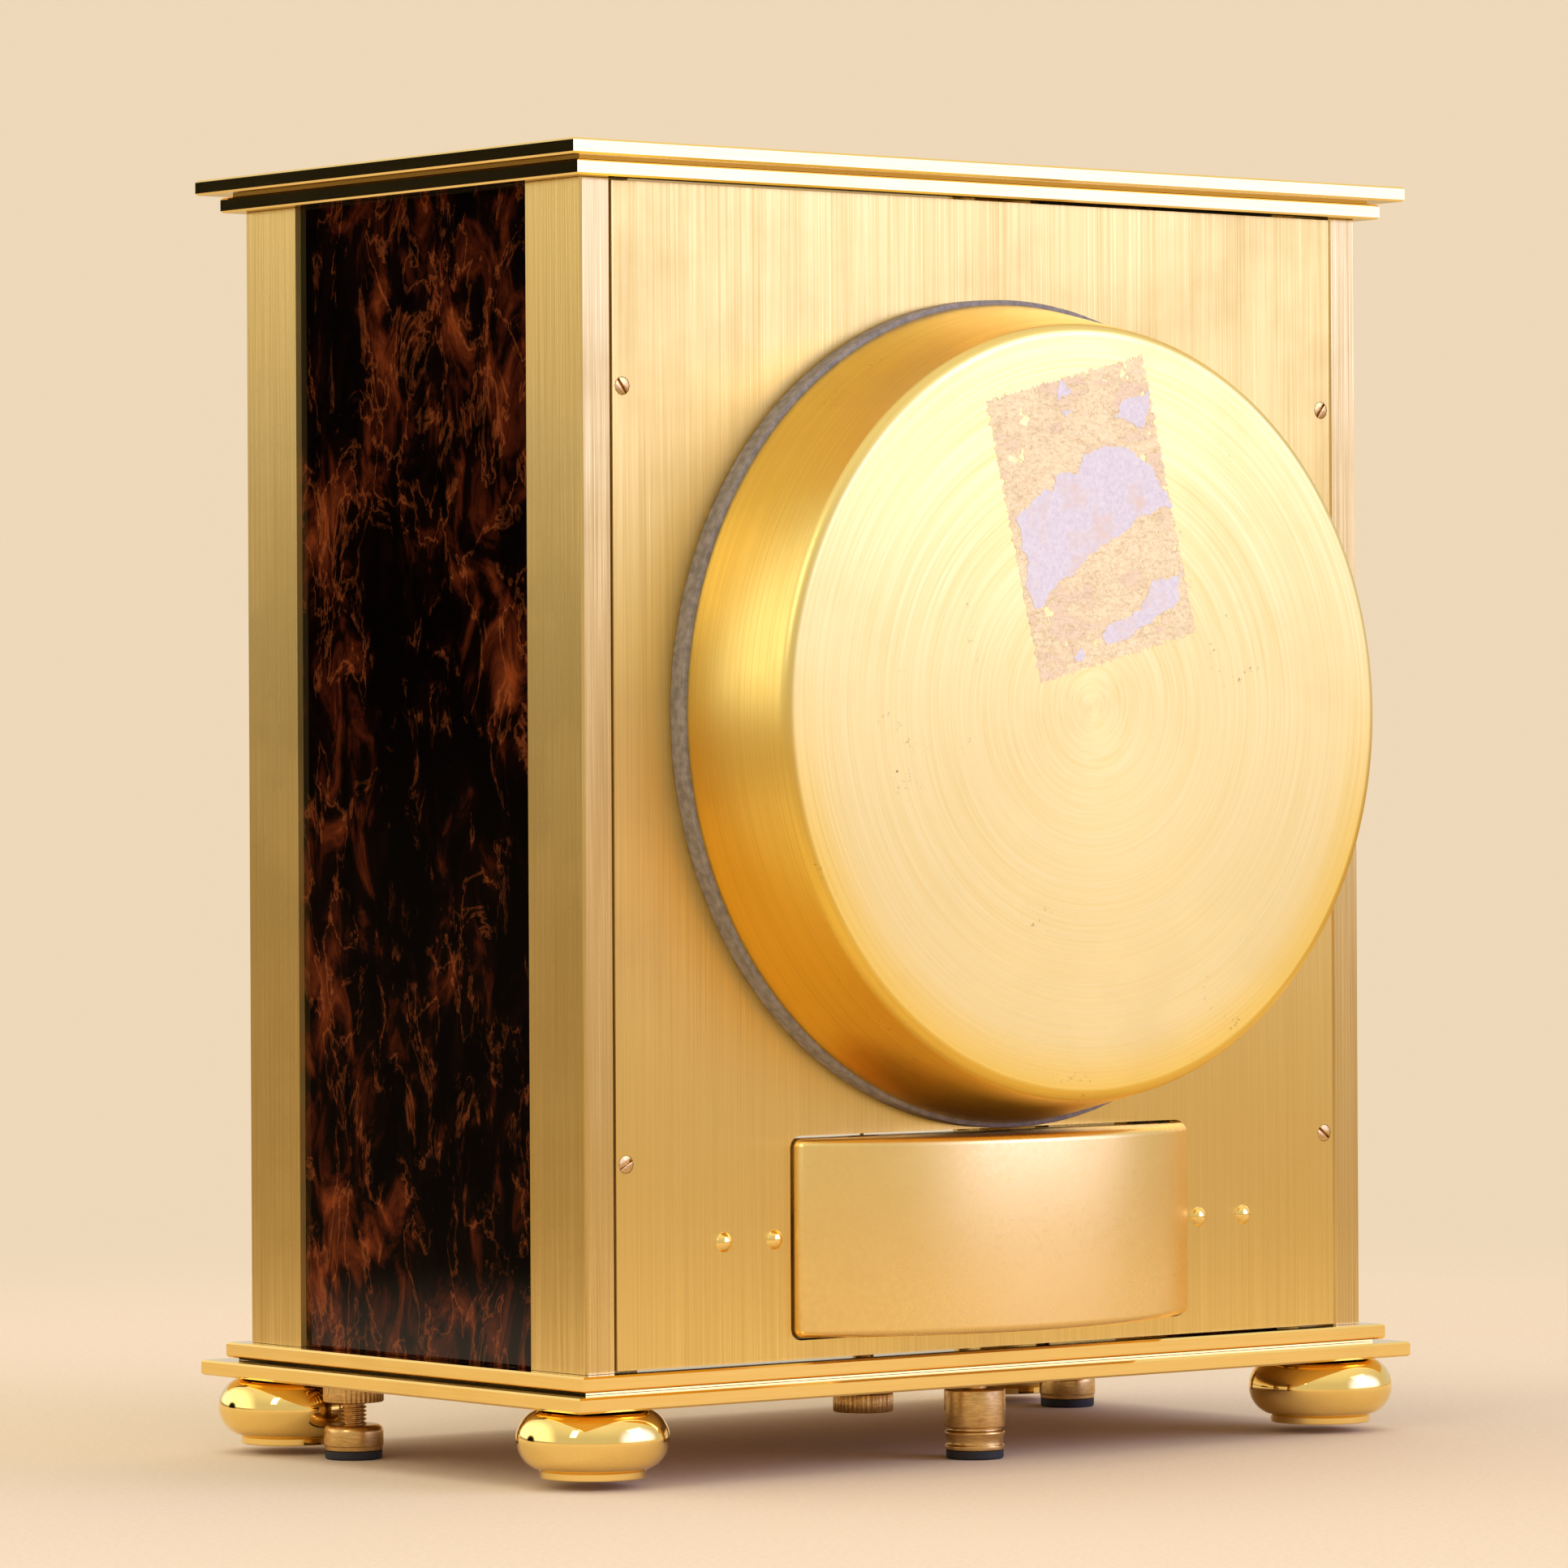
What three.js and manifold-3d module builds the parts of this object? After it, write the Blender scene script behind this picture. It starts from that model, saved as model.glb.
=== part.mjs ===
// An atmospheric table clock: a brass case on three adjustable feet, with a glazed front door,
// a going train behind an open dial, a slow annular balance hung on a torsion wire, and a gas
// bellows under a round cover at the back that winds the mainspring as the temperature changes.
// Millimetres, +Z up, the front towards -Y. The origin is under the middle of the whole clock.

import * as THREE from 'three';
import { mergeVertices } from 'three/addons/utils/BufferGeometryUtils.js';
import Module from 'manifold-3d';

// Clearances between assembled pieces: touching, loose and running in a snug hole
const seam = 0.05;
const gap = 0.3;
const snug = 0.1;

// How far a hole is cut past the faces it opens in, and how far joined bodies sink into each other
const reach = 1;
const sink = 0.5;

// Case body and the stepped plates above and below it
const bodyWidth = 175.1;
const bodyDepth = 99.1;
const bodyHeight = 200;
const plateThickness = 2.65;
const innerPlateOverhangX = 3.05;
const innerPlateOverhangY = 3.35;
const outerPlateOverhang = 3.2;
const plateBevel = 0.35;
const grooveHeight = 0.45;
const grooveDepth = 1.6;

// Corner posts, side panels and back panel
const postFaceWidth = 6.2;
const postSideWidth = 15.5;
const postBevel = 0.35;
const seatWidth = 6;
const seatThickness = 2.5;
const sidePanelRecess = 1.15;
const sidePanelThickness = 3;
const backPanelThickness = 3;

// Slotted screws of the back panel
const screwInset = 2.35;
const screwFromBottom = 34.85;
const screwFromTop = 34.7;
const screwSlotAngles = [0.5, 2.2, 2.5, 0.9];
const screwHeadRadius = 1.475;
const screwHeadHeight = 1.5;
const screwShankRadius = 0.85;
const screwLength = 5;
const screwSlotWidth = 0.5;
const screwSlotDepth = 0.6;

// Round cover of the bellows on its gasket, which reaches from the balance cover to near the top
const drumX = -2.65;
const gasketAboveBalanceCover = 0.5;
const gasketBelowTop = 17.6;
const gasketPostMargin = 0.7;
const gasketThickness = 3.5;
const gasketSeatWidth = 5;
const gasketBoreLip = 0.5;
const drumRimInset = 0.9;
const drumTaper = 1.4;
const drumFillet = 10;
const drumDepth = 21.5;
const drumWall = 1.2;

// Bulged cover over the back of the balance
const balanceCoverX = -0.75;
const balanceCoverWidth = 88.4;
const balanceCoverBottom = 4;
const balanceCoverHeight = 33.9;
const balanceCoverWall = 0.9;
const balanceCoverEdge = 1.3;
const balanceCoverEndRise = 1.5;
const balanceCoverMidRise = 16;
const balanceCoverMargin = 0.5;
const balanceCoverTabHeight = 9;
const balanceCoverTabLength = 17;
const balanceCoverTabThickness = 1;
const balanceCoverTrim = 5;
const balanceCoverSteps = 12;
const panelOpeningCorner = 2;
const rivetsPastLeftEnd = [14.25, 3.7];
const rivetsPastRightEnd = [4, 14.9];
const rivetRadius = 1.65;
const rivetRise = 0.9;

// Bun feet
const bunInsetX = 11.4;
const bunInsetY = 11.7;
const bunRingRadius = 7.7;
const bunSectionRadius = 5.3;
const bunSectionStart = -67.5;
const bunSectionSteps = 7;
const bunFlangeRadius = 9;
const bunFlangeHeight = 1.35;
const bunFlangeStep = 0.2;
const bunStudRadius = 2.4;

// Feet that the clock stands on: two that level it in front, one fixed behind
const frontFootInsetX = 11.7;
const frontFootInsetY = 30.2;
const rearFootInset = 10.6;
const padRadius = 5.03;
const padThickness = 1.5;
const padChamfer = 0.3;
const footCapRadius = 5.25;
const footCapHeight = 4.5;
const footCapRounding = 1.2;
const footCapChamfer = 0.4;
const footScrewRadius = 2.33;
const footScrewChamfer = 0.5;
const knurlDepth = 0.25;
const levellingPitch = 0.7;
const levellingTurnsUp = 2;
const levellingNutRadius = 5.33;
const levellingNutHeight = 3.45;
const levellingNutRibs = 18;
const frontFootDrop = 13.5;
const rearSpacerRadius = 5.35;
const rearSpacerHeight = 6.7;
const rearSpacerDrop = 1.3;
const rearSpacerChamfer = 0.35;
const rearCapRounding = 0.5;
const rearStemRadius = 2.05;
const rearGrooveHeight = 0.5;
const rearGrooveDepth = 0.7;

// Balance, torsion wire and the clamp that holds the balance while the clock is carried
const balanceClearance = 1.65;
const balanceRadius = 48.5;
const balanceRimWidth = 5.3;
const balanceRimBottom = 17;
const balanceRimHeight = 9;
const balanceSpokes = 3;
const balanceSpokeWidth = 5;
const balanceSpokeThickness = 2.6;
const balanceHubRadius = 6;
const balanceHubBottom = 13;
const balanceHubHeight = 14;
const balanceStaffRadius = 1.6;
const balanceStaffHeight = 7;
const torsionWireRadius = 0.35;
const torsionWireLength = 56;
const suspensionTubeRadius = 3;
const suspensionTubeBore = 1.2;
const suspensionTubeLength = 46;
const suspensionBlockWidth = 12;
const suspensionBlockHeight = 8;
const suspensionBlockBack = 4;
const suspensionTubeRise = 4;
const lockKnobRadius = 5.35;
const lockKnobHeight = 3.3;
const lockKnobRibs = 18;
const lockKnobDrop = 4;
const lockScrewRadius = 1.9;
const lockPadRadius = 8;
const lockPadHeight = 2.15;
const lockPadBevel = 1;
const lockTravel = 2.5;

// Front door
const doorThickness = 3.4;
const doorGap = 0.35;
const doorBarWidth = 7;
const doorLipWidth = 1.6;
const doorLipThickness = 1.3;
const doorGlassInset = 0.1;
const doorKnobRadius = 3.4;
const doorKnobLength = 5;
const doorKnobRounding = 1;
const doorKnobNeckProfile = [[3.4, -3], [1.5, -2.2], [1.5, -1.6], [2.4, -0.8], [2.4, 0], [0, 0]];
const doorPinRadius = 0.75;
const doorPinLength = 2;

// Movement frame. Its depths, and those of what it carries, are measured from a plane between its plates.
const movementAboveDrum = 1.6;
const movementFromBack = 49.55;
const frontPlateBack = -21.5;
const backPlateBack = 1.5;
const movementPlateThickness = 2.5;
const movementPlateBottom = -40;
const movementPlateTop = 48;
const movementPlateCorner = 5;
const pillarRadius = 3;
const pillarInset = 6;
const standInset = 0.5;
const standClearance = 6;
const standThickness = 3;
const standDepth = 18.45;
const standTop = 38;
const standFootLength = 11;

// Train: module, teeth and places. Angles are seen from the front, from the right towards the top.
const trainModule = 0.8;
const motionModule = 0.75;
const barrelTeeth = 48;
const centrePinionTeeth = 12;
const centreWheelTeeth = 48;
const escapePinionTeeth = 12;
const cannonTeeth = 10;
const minuteWheelTeeth = 30;
const minutePinionTeeth = 8;
const hourWheelTeeth = 32;
const barrelAngle = THREE.MathUtils.degToRad(200);
const escapeAngle = THREE.MathUtils.degToRad(50);
const minuteWheelAngle = THREE.MathUtils.degToRad(-50);
const palletAngle = THREE.MathUtils.degToRad(30);
const toothAddendum = 0.8;
const toothDedendum = 1.15;
const toothBacklash = 0.14;
const pinionRootFactor = 0.8;
const arborRadius = 1.5;
const barrelArborTail = 1;
const wheelThickness = 1.6;
const wheelSpokes = 5;
const wheelSpokeWidth = 1.5;
const wheelRimWidth = 1.9;
const trainHubRadius = 4;
const escapeHubRadius = 3;
const motionHubRadius = 4.6;
const crossingSteps = 4;
const barrelRadius = 16.5;
const barrelDepth = 8.5;
const barrelWheelFront = -17;
const centreWheelFront = -4.8;
const pinionOverhang = 0.7;
const escapeWheelFront = -12;
const escapeWheelRadius = 12;
const escapeToothDepth = 2.6;
const escapeToothTip = 0.12;
const escapeToothRoot = 0.44;
const escapeTeeth = 15;
const escapePlateThickness = 1;
const palletReachAngle = THREE.MathUtils.degToRad(42);
const palletArmWidth = 1.4;
const palletArmClearance = 1.6;
const palletClawWidth = 0.8;
const palletClawClearance = 0.12;
const palletHubRadius = 3;
const palletTailLength = 9;
const palletTailWidth = 2;
const palletProngOffset = 1.6;
const palletProngWidth = 1.2;
const palletProngLength = 3.5;
const motionWheelThickness = 1.2;
const motionWheelBack = -24.8;
const hourWheelBack = -26.6;
const cannonPinionBack = -24.6;
const cannonPinionThickness = 1.6;
const minutePinionThickness = 2.2;
const minutePinionOverhang = 0.2;
const minuteArborOverhang = 0.5;

// Dial and hands
const dialRadius = 50;
const dialBore = 33;
const dialBack = -28.4;
const dialThickness = 1.2;
const dialFootRadius = 1.5;
const dialFootAngles = [45, 135, 225, 315];
const markRise = 0.6;
const markLength = 9;
const markWidth = 1.8;
const quarterMarkWidth = 3;
const handThickness = 0.7;
const hourHandBack = -30.9;
const hourHandLength = 33;
const hourHandWidth = 4;
const minuteHandBack = -32.5;
const minuteHandLength = 45;
const minuteHandWidth = 3;
const handTail = 8;
const handEyeWidth = 1.9;
const handWidestAt = 0.55;
const handFit = 0.15;
const hourPipeRadius = 2.6;
const hourPipeBore = 1.9;
const handNutRadius = 2.4;
const handNutLength = 1.7;
const handNutCap = 0.6;
const handNutSides = 6;
const shownHour = 10;
const shownMinute = 10;

// Bellows, return spring and winding chain
const bellowsClearance = 11;
const bellowsFoldDepth = 6;
const bellowsFolds = 5;
const bellowsLength = 35;
const bellowsWall = 0.7;
const bellowsFillerRadius = 2.5;
const bellowsPlateThickness = 3;
const bellowsPlateBevel = 1;
const bellowsBossRadius = 5;
const bellowsBossLength = 3;
const bridgeThickness = 2.45;
const bridgeHeight = 25;
const bridgeHoleRadius = 4;
const springRadius = 14;
const springWireRadius = 0.7;
const springTurns = 4;
const springStepsPerTurn = 10;
const chainRadius = 0.6;
const chainSteps = 16;
const rollerRadius = 2.4;
const rollerLength = 8;
const rollerAxleRadius = 0.8;
const earThickness = 1.5;
const windingDrumFlange = 2.1;
const windingDrumWidth = 4.8;
const windingFlangeThickness = 0.8;
const windingDrumFront = 5;

// Facets of round pieces
const largeSides = 48;
const broadSides = 28;
const mediumSides = 16;
const smallSides = 12;
const holeSides = 10;
const tinySides = 8;
const wireSides = 6;

// Colours and finishes
const satinBrass = { color: 0xd2ac5c, roughness: 0.38, metalness: 1 };
const polishedBrass = { color: 0xe2bd68, roughness: 0.12, metalness: 1 };
const agedBrass = { color: 0xa98743, roughness: 0.42, metalness: 1 };
const paleGilt = { color: 0xe0c27c, roughness: 0.3, metalness: 1 };
const steel = { color: 0x9b9da2, roughness: 0.3, metalness: 1 };
const darkLacquer = { color: 0x25100a, roughness: 0.08, metalness: 0 };
const greyRubber = { color: 0x8b827c, roughness: 0.9, metalness: 0 };
const blackRubber = { color: 0x17161a, roughness: 0.85, metalness: 0 };
const clearGlass = { color: 0xe8f0ee, roughness: 0.03, metalness: 0, transparent: true, opacity: 0.3 };

// Sizes and places that follow from the ones above
const innerPlateWidth = bodyWidth + 2 * innerPlateOverhangX;
const innerPlateDepth = bodyDepth + 2 * innerPlateOverhangY;
const outerPlateWidth = innerPlateWidth + 2 * outerPlateOverhang;
const outerPlateDepth = innerPlateDepth + 2 * outerPlateOverhang;
const corniceBottom = bodyHeight + seam;
const corniceTop = corniceBottom + plateThickness;
const topPlateBottom = corniceTop + seam + grooveHeight;
const topPlateTop = topPlateBottom + plateThickness;
const stepTop = -seam;
const stepBottom = stepTop - plateThickness;
const baseTop = stepBottom - grooveHeight - seam;
const baseBottom = baseTop - plateThickness;
const backFace = bodyDepth / 2;
const postInnerX = bodyWidth / 2 - postFaceWidth;
const postInnerY = bodyDepth / 2 - postSideWidth;
const screwX = postInnerX - screwInset;
const screwHeights = [screwFromBottom, bodyHeight - screwFromTop];
const balanceCoverTop = balanceCoverBottom + balanceCoverHeight;
const gasketBottom = balanceCoverTop + gasketAboveBalanceCover;
const roomUnderTop = (bodyHeight - gasketBelowTop - gasketBottom) / 2;
const roomBetweenPosts = postInnerX - Math.abs(drumX) - gasketPostMargin;
const gasketRadius = Math.min(roomUnderTop, roomBetweenPosts);
const drumHeight = gasketBottom + gasketRadius;
const panelHoleRadius = gasketRadius - gasketSeatWidth;
const gasketBore = panelHoleRadius - gasketBoreLip;
const drumRimRadius = gasketRadius - drumRimInset;
const drumFaceRadius = drumRimRadius - drumTaper;
const drumFront = backFace + seam + gasketThickness + seam;
const drumBack = drumFront + drumDepth;
const bunX = outerPlateWidth / 2 - bunInsetX;
const bunY = outerPlateDepth / 2 - bunInsetY;
const frontFootX = outerPlateWidth / 2 - frontFootInsetX;
const frontFootY = frontFootInsetY - outerPlateDepth / 2;
const rearFootY = outerPlateDepth / 2 - rearFootInset;
const balanceBack = backFace + balanceCoverMidRise - balanceCoverWall - balanceClearance;
const balanceY = balanceBack - balanceRadius;
const movementHeight = drumHeight + movementAboveDrum;
const movementY = backFace - movementFromBack;
const capBottom = baseBottom - frontFootDrop + padThickness + seam;
const floorLevel = capBottom - seam - padThickness;
const levellingScrewTop = -gap - levellingTurnsUp * levellingPitch;
const frontReach = Math.max(outerPlateDepth / 2, bunY + bunRingRadius + bunSectionRadius);
const frameShiftY = (frontReach - drumBack) / 2;
const frontPlateFront = frontPlateBack - movementPlateThickness;
const backPlateFront = backPlateBack - movementPlateThickness;
const barrelPlace = polar((trainModule * (barrelTeeth + centrePinionTeeth)) / 2, barrelAngle);
const escapePlace = polar((trainModule * (centreWheelTeeth + escapePinionTeeth)) / 2, escapeAngle);
const motionDistance = (motionModule * (cannonTeeth + minuteWheelTeeth)) / 2;
const minuteWheelPlace = polar(motionDistance, minuteWheelAngle);
const palletDistance = escapeWheelRadius / Math.cos(palletReachAngle);
const palletPlace = escapePlace.clone().add(polar(palletDistance, palletAngle));
const standX = balanceRadius + standClearance + standThickness / 2;
const movementPlateWidth = 2 * (standX + standThickness / 2 + standInset);
const standFront = backPlateBack + seam;
const standBack = standFront + standDepth;
const bridgeFront = standBack + seam;
const bridgeBack = bridgeFront + bridgeThickness;
const bellowsRadius = panelHoleRadius - bellowsClearance;
const bellowsBack = drumBack - drumWall - seam;
const bellowsFront = bellowsBack - bellowsLength;
const bellowsPlateFront = bellowsFront - seam - bellowsPlateThickness;
const chainHeight = drumHeight - movementHeight;
const chainTurnRadius = rollerRadius + chainRadius + gap;
const windingDrumRadius = chainHeight - barrelPlace.y - chainRadius - gap;
const windingPlane = windingDrumFront + windingDrumWidth / 2;
const lockPadBottom = balanceHubBottom - gap - lockTravel - lockPadHeight;

function polar(radius, angle) {
  return new THREE.Vector2(radius * Math.cos(angle), radius * Math.sin(angle));
}

// Solids and their joins and cuts

const wasm = await Module();
wasm.setup();

function toSolid(geometry) {
  const bare = geometry.clone();
  bare.deleteAttribute('normal');
  bare.deleteAttribute('uv');
  const merged = mergeVertices(bare, 1e-4);
  const corners = Array.from(merged.index.array);
  const kept = [];
  for (let i = 0; i < corners.length; i += 3) {
    const [a, b, c] = corners.slice(i, i + 3);
    if (a !== b && b !== c && c !== a) kept.push(a, b, c);
  }
  const places = merged.attributes.position.array;
  if (signedVolume(places, kept) < 0) kept.reverse();
  const vertProperties = new Float32Array(places);
  const triVerts = new Uint32Array(kept);
  return new wasm.Manifold(new wasm.Mesh({ numProp: 3, vertProperties, triVerts }));
}

function signedVolume(places, corners) {
  const [a, b, c] = [new THREE.Vector3(), new THREE.Vector3(), new THREE.Vector3()];
  let sum = 0;
  for (let i = 0; i < corners.length; i += 3) {
    a.fromArray(places, 3 * corners[i]);
    b.fromArray(places, 3 * corners[i + 1]);
    c.fromArray(places, 3 * corners[i + 2]);
    sum += a.dot(b.cross(c));
  }
  return sum;
}

function toGeometry(solid) {
  const mesh = solid.getMesh();
  const geometry = new THREE.BufferGeometry();
  geometry.setAttribute('position', new THREE.BufferAttribute(new Float32Array(mesh.vertProperties), 3));
  geometry.setIndex(new THREE.BufferAttribute(new Uint32Array(mesh.triVerts), 1));
  const flat = geometry.toNonIndexed();
  flat.computeVertexNormals();
  return flat;
}

function join(...geometries) {
  return toGeometry(geometries.map(toSolid).reduce((sum, solid) => sum.add(solid)));
}

function cut(geometry, ...tools) {
  return toGeometry(tools.map(toSolid).reduce((rest, tool) => rest.subtract(tool), toSolid(geometry)));
}

// Outlines

function circleOutline(radius, sides, x = 0, y = 0) {
  const points = [];
  for (let i = 0; i < sides; i++) points.push(polar(radius, (2 * Math.PI * i) / sides).add({ x, y }));
  return points;
}

function boxOutline(x0, y0, x1, y1) {
  return [[x0, y0], [x1, y0], [x1, y1], [x0, y1]].map(([x, y]) => new THREE.Vector2(x, y));
}

function roundedOutline(x0, y0, x1, y1, radius, steps = 3) {
  const centres = [[x1 - radius, y1 - radius], [x0 + radius, y1 - radius],
    [x0 + radius, y0 + radius], [x1 - radius, y0 + radius]];
  const points = [];
  centres.forEach(([x, y], quarter) => {
    for (let i = 0; i <= steps; i++) {
      points.push(polar(radius, (Math.PI / 2) * (quarter + i / steps)).add({ x, y }));
    }
  });
  return points;
}

function ribbedOutline(radius, ribs, depth) {
  const points = [];
  for (let i = 0; i < 2 * ribs; i++) points.push(polar(radius - (i % 2) * depth, (Math.PI * i) / ribs));
  return points;
}

// A gear's outline: straight flanks, as far apart at root and tip as those of an involute tooth,
// slimmer roots on a pinion, and one tooth centred on the phase angle
function gearOutline(teeth, module, phase) {
  const pressureAngle = THREE.MathUtils.degToRad(20);
  const pitchRadius = (module * teeth) / 2;
  const baseRadius = pitchRadius * Math.cos(pressureAngle);
  const tipRadius = pitchRadius + toothAddendum * module;
  const rootRadius = pitchRadius - toothDedendum * module;
  const involute = (angle) => Math.tan(angle) - angle;
  const pitchHalfAngle = ((Math.PI - 2 * toothBacklash) * module) / (4 * pitchRadius);
  const halfAngle = (radius) => {
    const flank = Math.acos(Math.min(1, baseRadius / Math.max(radius, baseRadius)));
    return pitchHalfAngle + involute(pressureAngle) - involute(flank);
  };
  const isPinion = teeth < 20;
  const rootHalf = halfAngle(rootRadius) * (isPinion ? pinionRootFactor : 1);
  const tipHalf = halfAngle(tipRadius);
  const points = [];
  for (let i = 0; i < teeth; i++) {
    const centre = phase + (2 * Math.PI * i) / teeth;
    points.push(polar(rootRadius, centre - rootHalf), polar(tipRadius, centre - tipHalf));
    points.push(polar(tipRadius, centre + tipHalf), polar(rootRadius, centre + rootHalf));
  }
  return points;
}

// Openings between the spokes of a wheel, from its hub to its rim, with one spoke at the phase angle
function crossings(hubRadius, rimRadius, phase) {
  const openings = [];
  for (let i = 0; i < wheelSpokes; i++) {
    const middle = phase + (2 * Math.PI * (i + 0.5)) / wheelSpokes;
    const points = [];
    for (const [radius, order] of [[rimRadius, 1], [hubRadius, -1]]) {
      const half = Math.PI / wheelSpokes - Math.asin(wheelSpokeWidth / 2 / radius);
      for (let step = 0; step <= crossingSteps; step++) {
        points.push(polar(radius, middle + order * half * ((2 * step) / crossingSteps - 1)));
      }
    }
    openings.push(points);
  }
  return openings;
}

// Bodies: flat plates, blocks, bars and turned pieces

function plate(outline, z0, z1, holes = []) {
  const shape = new THREE.Shape(outline);
  shape.holes = holes.map((hole) => new THREE.Path(hole));
  const geometry = new THREE.ExtrudeGeometry(shape, { depth: z1 - z0, bevelEnabled: false });
  return geometry.translate(0, 0, z0);
}

function bevelledPlate(outline, z0, z1, bevel, steps = 1) {
  const geometry = new THREE.ExtrudeGeometry(new THREE.Shape(outline), {
    depth: z1 - z0 - 2 * bevel,
    bevelSize: bevel,
    bevelThickness: bevel,
    bevelOffset: -bevel,
    bevelSegments: steps,
  });
  return geometry.translate(0, 0, z0 + bevel);
}

// A plate that stands upright: its outline is given in X and Z, its faces at y0 and y1
function wall(outline, y0, y1, holes = []) {
  return plate(outline, -y1, -y0, holes).rotateX(Math.PI / 2);
}

function block(x0, x1, y0, y1, z0, z1) {
  const geometry = new THREE.BoxGeometry(x1 - x0, y1 - y0, z1 - z0);
  return geometry.translate((x0 + x1) / 2, (y0 + y1) / 2, (z0 + z1) / 2);
}

function rod(radius, z0, z1, sides = smallSides) {
  return plate(circleOutline(radius, sides), z0, z1);
}

function bar(radius, y0, y1, sides = smallSides, x = 0, z = 0) {
  return wall(circleOutline(radius, sides, x, z), y0, y1);
}

// Turned about Z, or about Y, from a profile of [radius, place] pairs
function turned(profile, sides) {
  const points = profile.map(([radius, place]) => new THREE.Vector2(radius, place));
  return new THREE.LatheGeometry(points, sides).rotateX(Math.PI / 2);
}

function turnedAlongY(profile, sides) {
  return turned(profile, sides).rotateX(-Math.PI / 2);
}

function arcPoints(centreRadius, centrePlace, radius, startAngle, endAngle, steps) {
  const points = [];
  for (let i = 0; i <= steps; i++) {
    const angle = THREE.MathUtils.degToRad(startAngle + ((endAngle - startAngle) * i) / steps);
    points.push([centreRadius + radius * Math.cos(angle), centrePlace + radius * Math.sin(angle)]);
  }
  return points;
}

function addPiece(parent, name, geometry, finish, x = 0, y = 0, z = 0) {
  const piece = new THREE.Mesh(geometry, new THREE.MeshStandardMaterial(finish));
  piece.name = name;
  piece.position.set(x, y, z);
  parent.add(piece);
  return piece;
}

function addGroup(parent, x, y, z) {
  const group = new THREE.Group();
  group.position.set(x, y, z);
  parent.add(group);
  return group;
}

// Top and base: pairs of stepped plates, with a groove between the two plates of a pair

function centredOutline(width, depth) {
  return boxOutline(-width / 2, -depth / 2, width / 2, depth / 2);
}

function addCasePlates(clock) {
  const grooveOutline = centredOutline(innerPlateWidth - 2 * grooveDepth, innerPlateDepth - 2 * grooveDepth);
  const outer = centredOutline(outerPlateWidth, outerPlateDepth);
  const inner = centredOutline(innerPlateWidth, innerPlateDepth);
  const pinHole = (z0, z1) =>
    rod(doorPinRadius + gap, z0, z1, holeSides).translate(doorAxisX(), doorAxisY(), 0);

  const cornice = bevelledPlate(inner, corniceBottom, corniceTop, plateBevel);
  addPiece(clock, 'cornice_plate', cut(cornice, pinHole(bodyHeight, corniceTop + reach)), satinBrass);
  const top = join(
    bevelledPlate(outer, topPlateBottom, topPlateTop, plateBevel),
    plate(grooveOutline, corniceTop + seam, topPlateBottom + plateBevel),
  );
  addPiece(clock, 'top_plate', top, satinBrass);

  const through = (radius, x, y) => rod(radius, baseBottom - reach, reach, holeSides).translate(x, y, 0);
  const footHoles = [
    through(footScrewRadius + gap, frontFootX, frontFootY),
    through(footScrewRadius + gap, -frontFootX, frontFootY),
    through(lockScrewRadius + gap, 0, balanceY),
  ];
  const step = join(
    bevelledPlate(inner, stepBottom, stepTop, plateBevel),
    plate(grooveOutline, baseTop + seam, stepBottom + plateBevel),
  );
  addPiece(clock, 'base_step_plate', cut(step, ...footHoles, pinHole(stepBottom - reach, reach)), satinBrass);
  const studHoles = [[1, 1], [1, -1], [-1, 1], [-1, -1]].map(([sideX, sideY]) =>
    through(bunStudRadius + gap, sideX * bunX, sideY * bunY));
  const base = cut(
    bevelledPlate(outer, baseBottom, baseTop, plateBevel),
    ...footHoles,
    ...studHoles,
    through(rearStemRadius + gap, 0, rearFootY),
  );
  addPiece(clock, 'base_plate', base, satinBrass);
}

// Corner posts, each with an inner seat that the door or the back panel closes against

function postOutline(sideX, sideY, seatDepth) {
  const outerX = bodyWidth / 2;
  const outerY = bodyDepth / 2;
  const seatY = outerY - seatDepth;
  const corners = [
    [outerX, postInnerY],
    [outerX, outerY - postBevel],
    [outerX - postBevel, outerY],
    [postInnerX + postBevel, outerY],
    [postInnerX, outerY - postBevel],
    [postInnerX, seatY],
    [postInnerX - seatWidth, seatY],
    [postInnerX - seatWidth, seatY - seatThickness],
    [postInnerX, seatY - seatThickness],
    [postInnerX, postInnerY],
  ];
  return corners.map(([x, y]) => new THREE.Vector2(sideX * x, sideY * y));
}

function addPostsAndSides(clock) {
  for (const [side, sideX] of [['left', -1], ['right', 1]]) {
    const frontOutline = postOutline(sideX, -1, doorThickness + gap);
    addPiece(clock, 'front_post_' + side, plate(frontOutline, 0, bodyHeight), satinBrass);
    const holes = screwHeights.map((z) =>
      bar(screwShankRadius + gap, 0, backFace - backPanelThickness, holeSides, sideX * screwX, z));
    const backOutline = postOutline(sideX, 1, backPanelThickness + seam);
    addPiece(clock, 'back_post_' + side, cut(plate(backOutline, 0, bodyHeight), ...holes), satinBrass);
    const outerX = bodyWidth / 2 - sidePanelRecess;
    const halfDepth = postInnerY - seam;
    const panel = block(outerX - sidePanelThickness, outerX, -halfDepth, halfDepth, seam, bodyHeight - seam);
    addPiece(clock, 'side_panel_' + side, sideX > 0 ? panel : panel.rotateZ(Math.PI), darkLacquer);
  }
}

// Back panel, with the round hole for the bellows and the opening for the balance

function balanceOpeningOutline(grow) {
  const halfWidth = balanceCoverWidth / 2 + grow;
  return roundedOutline(balanceCoverX - halfWidth, balanceCoverBottom - grow, balanceCoverX + halfWidth,
    balanceCoverBottom + balanceCoverHeight + grow, panelOpeningCorner);
}

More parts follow.
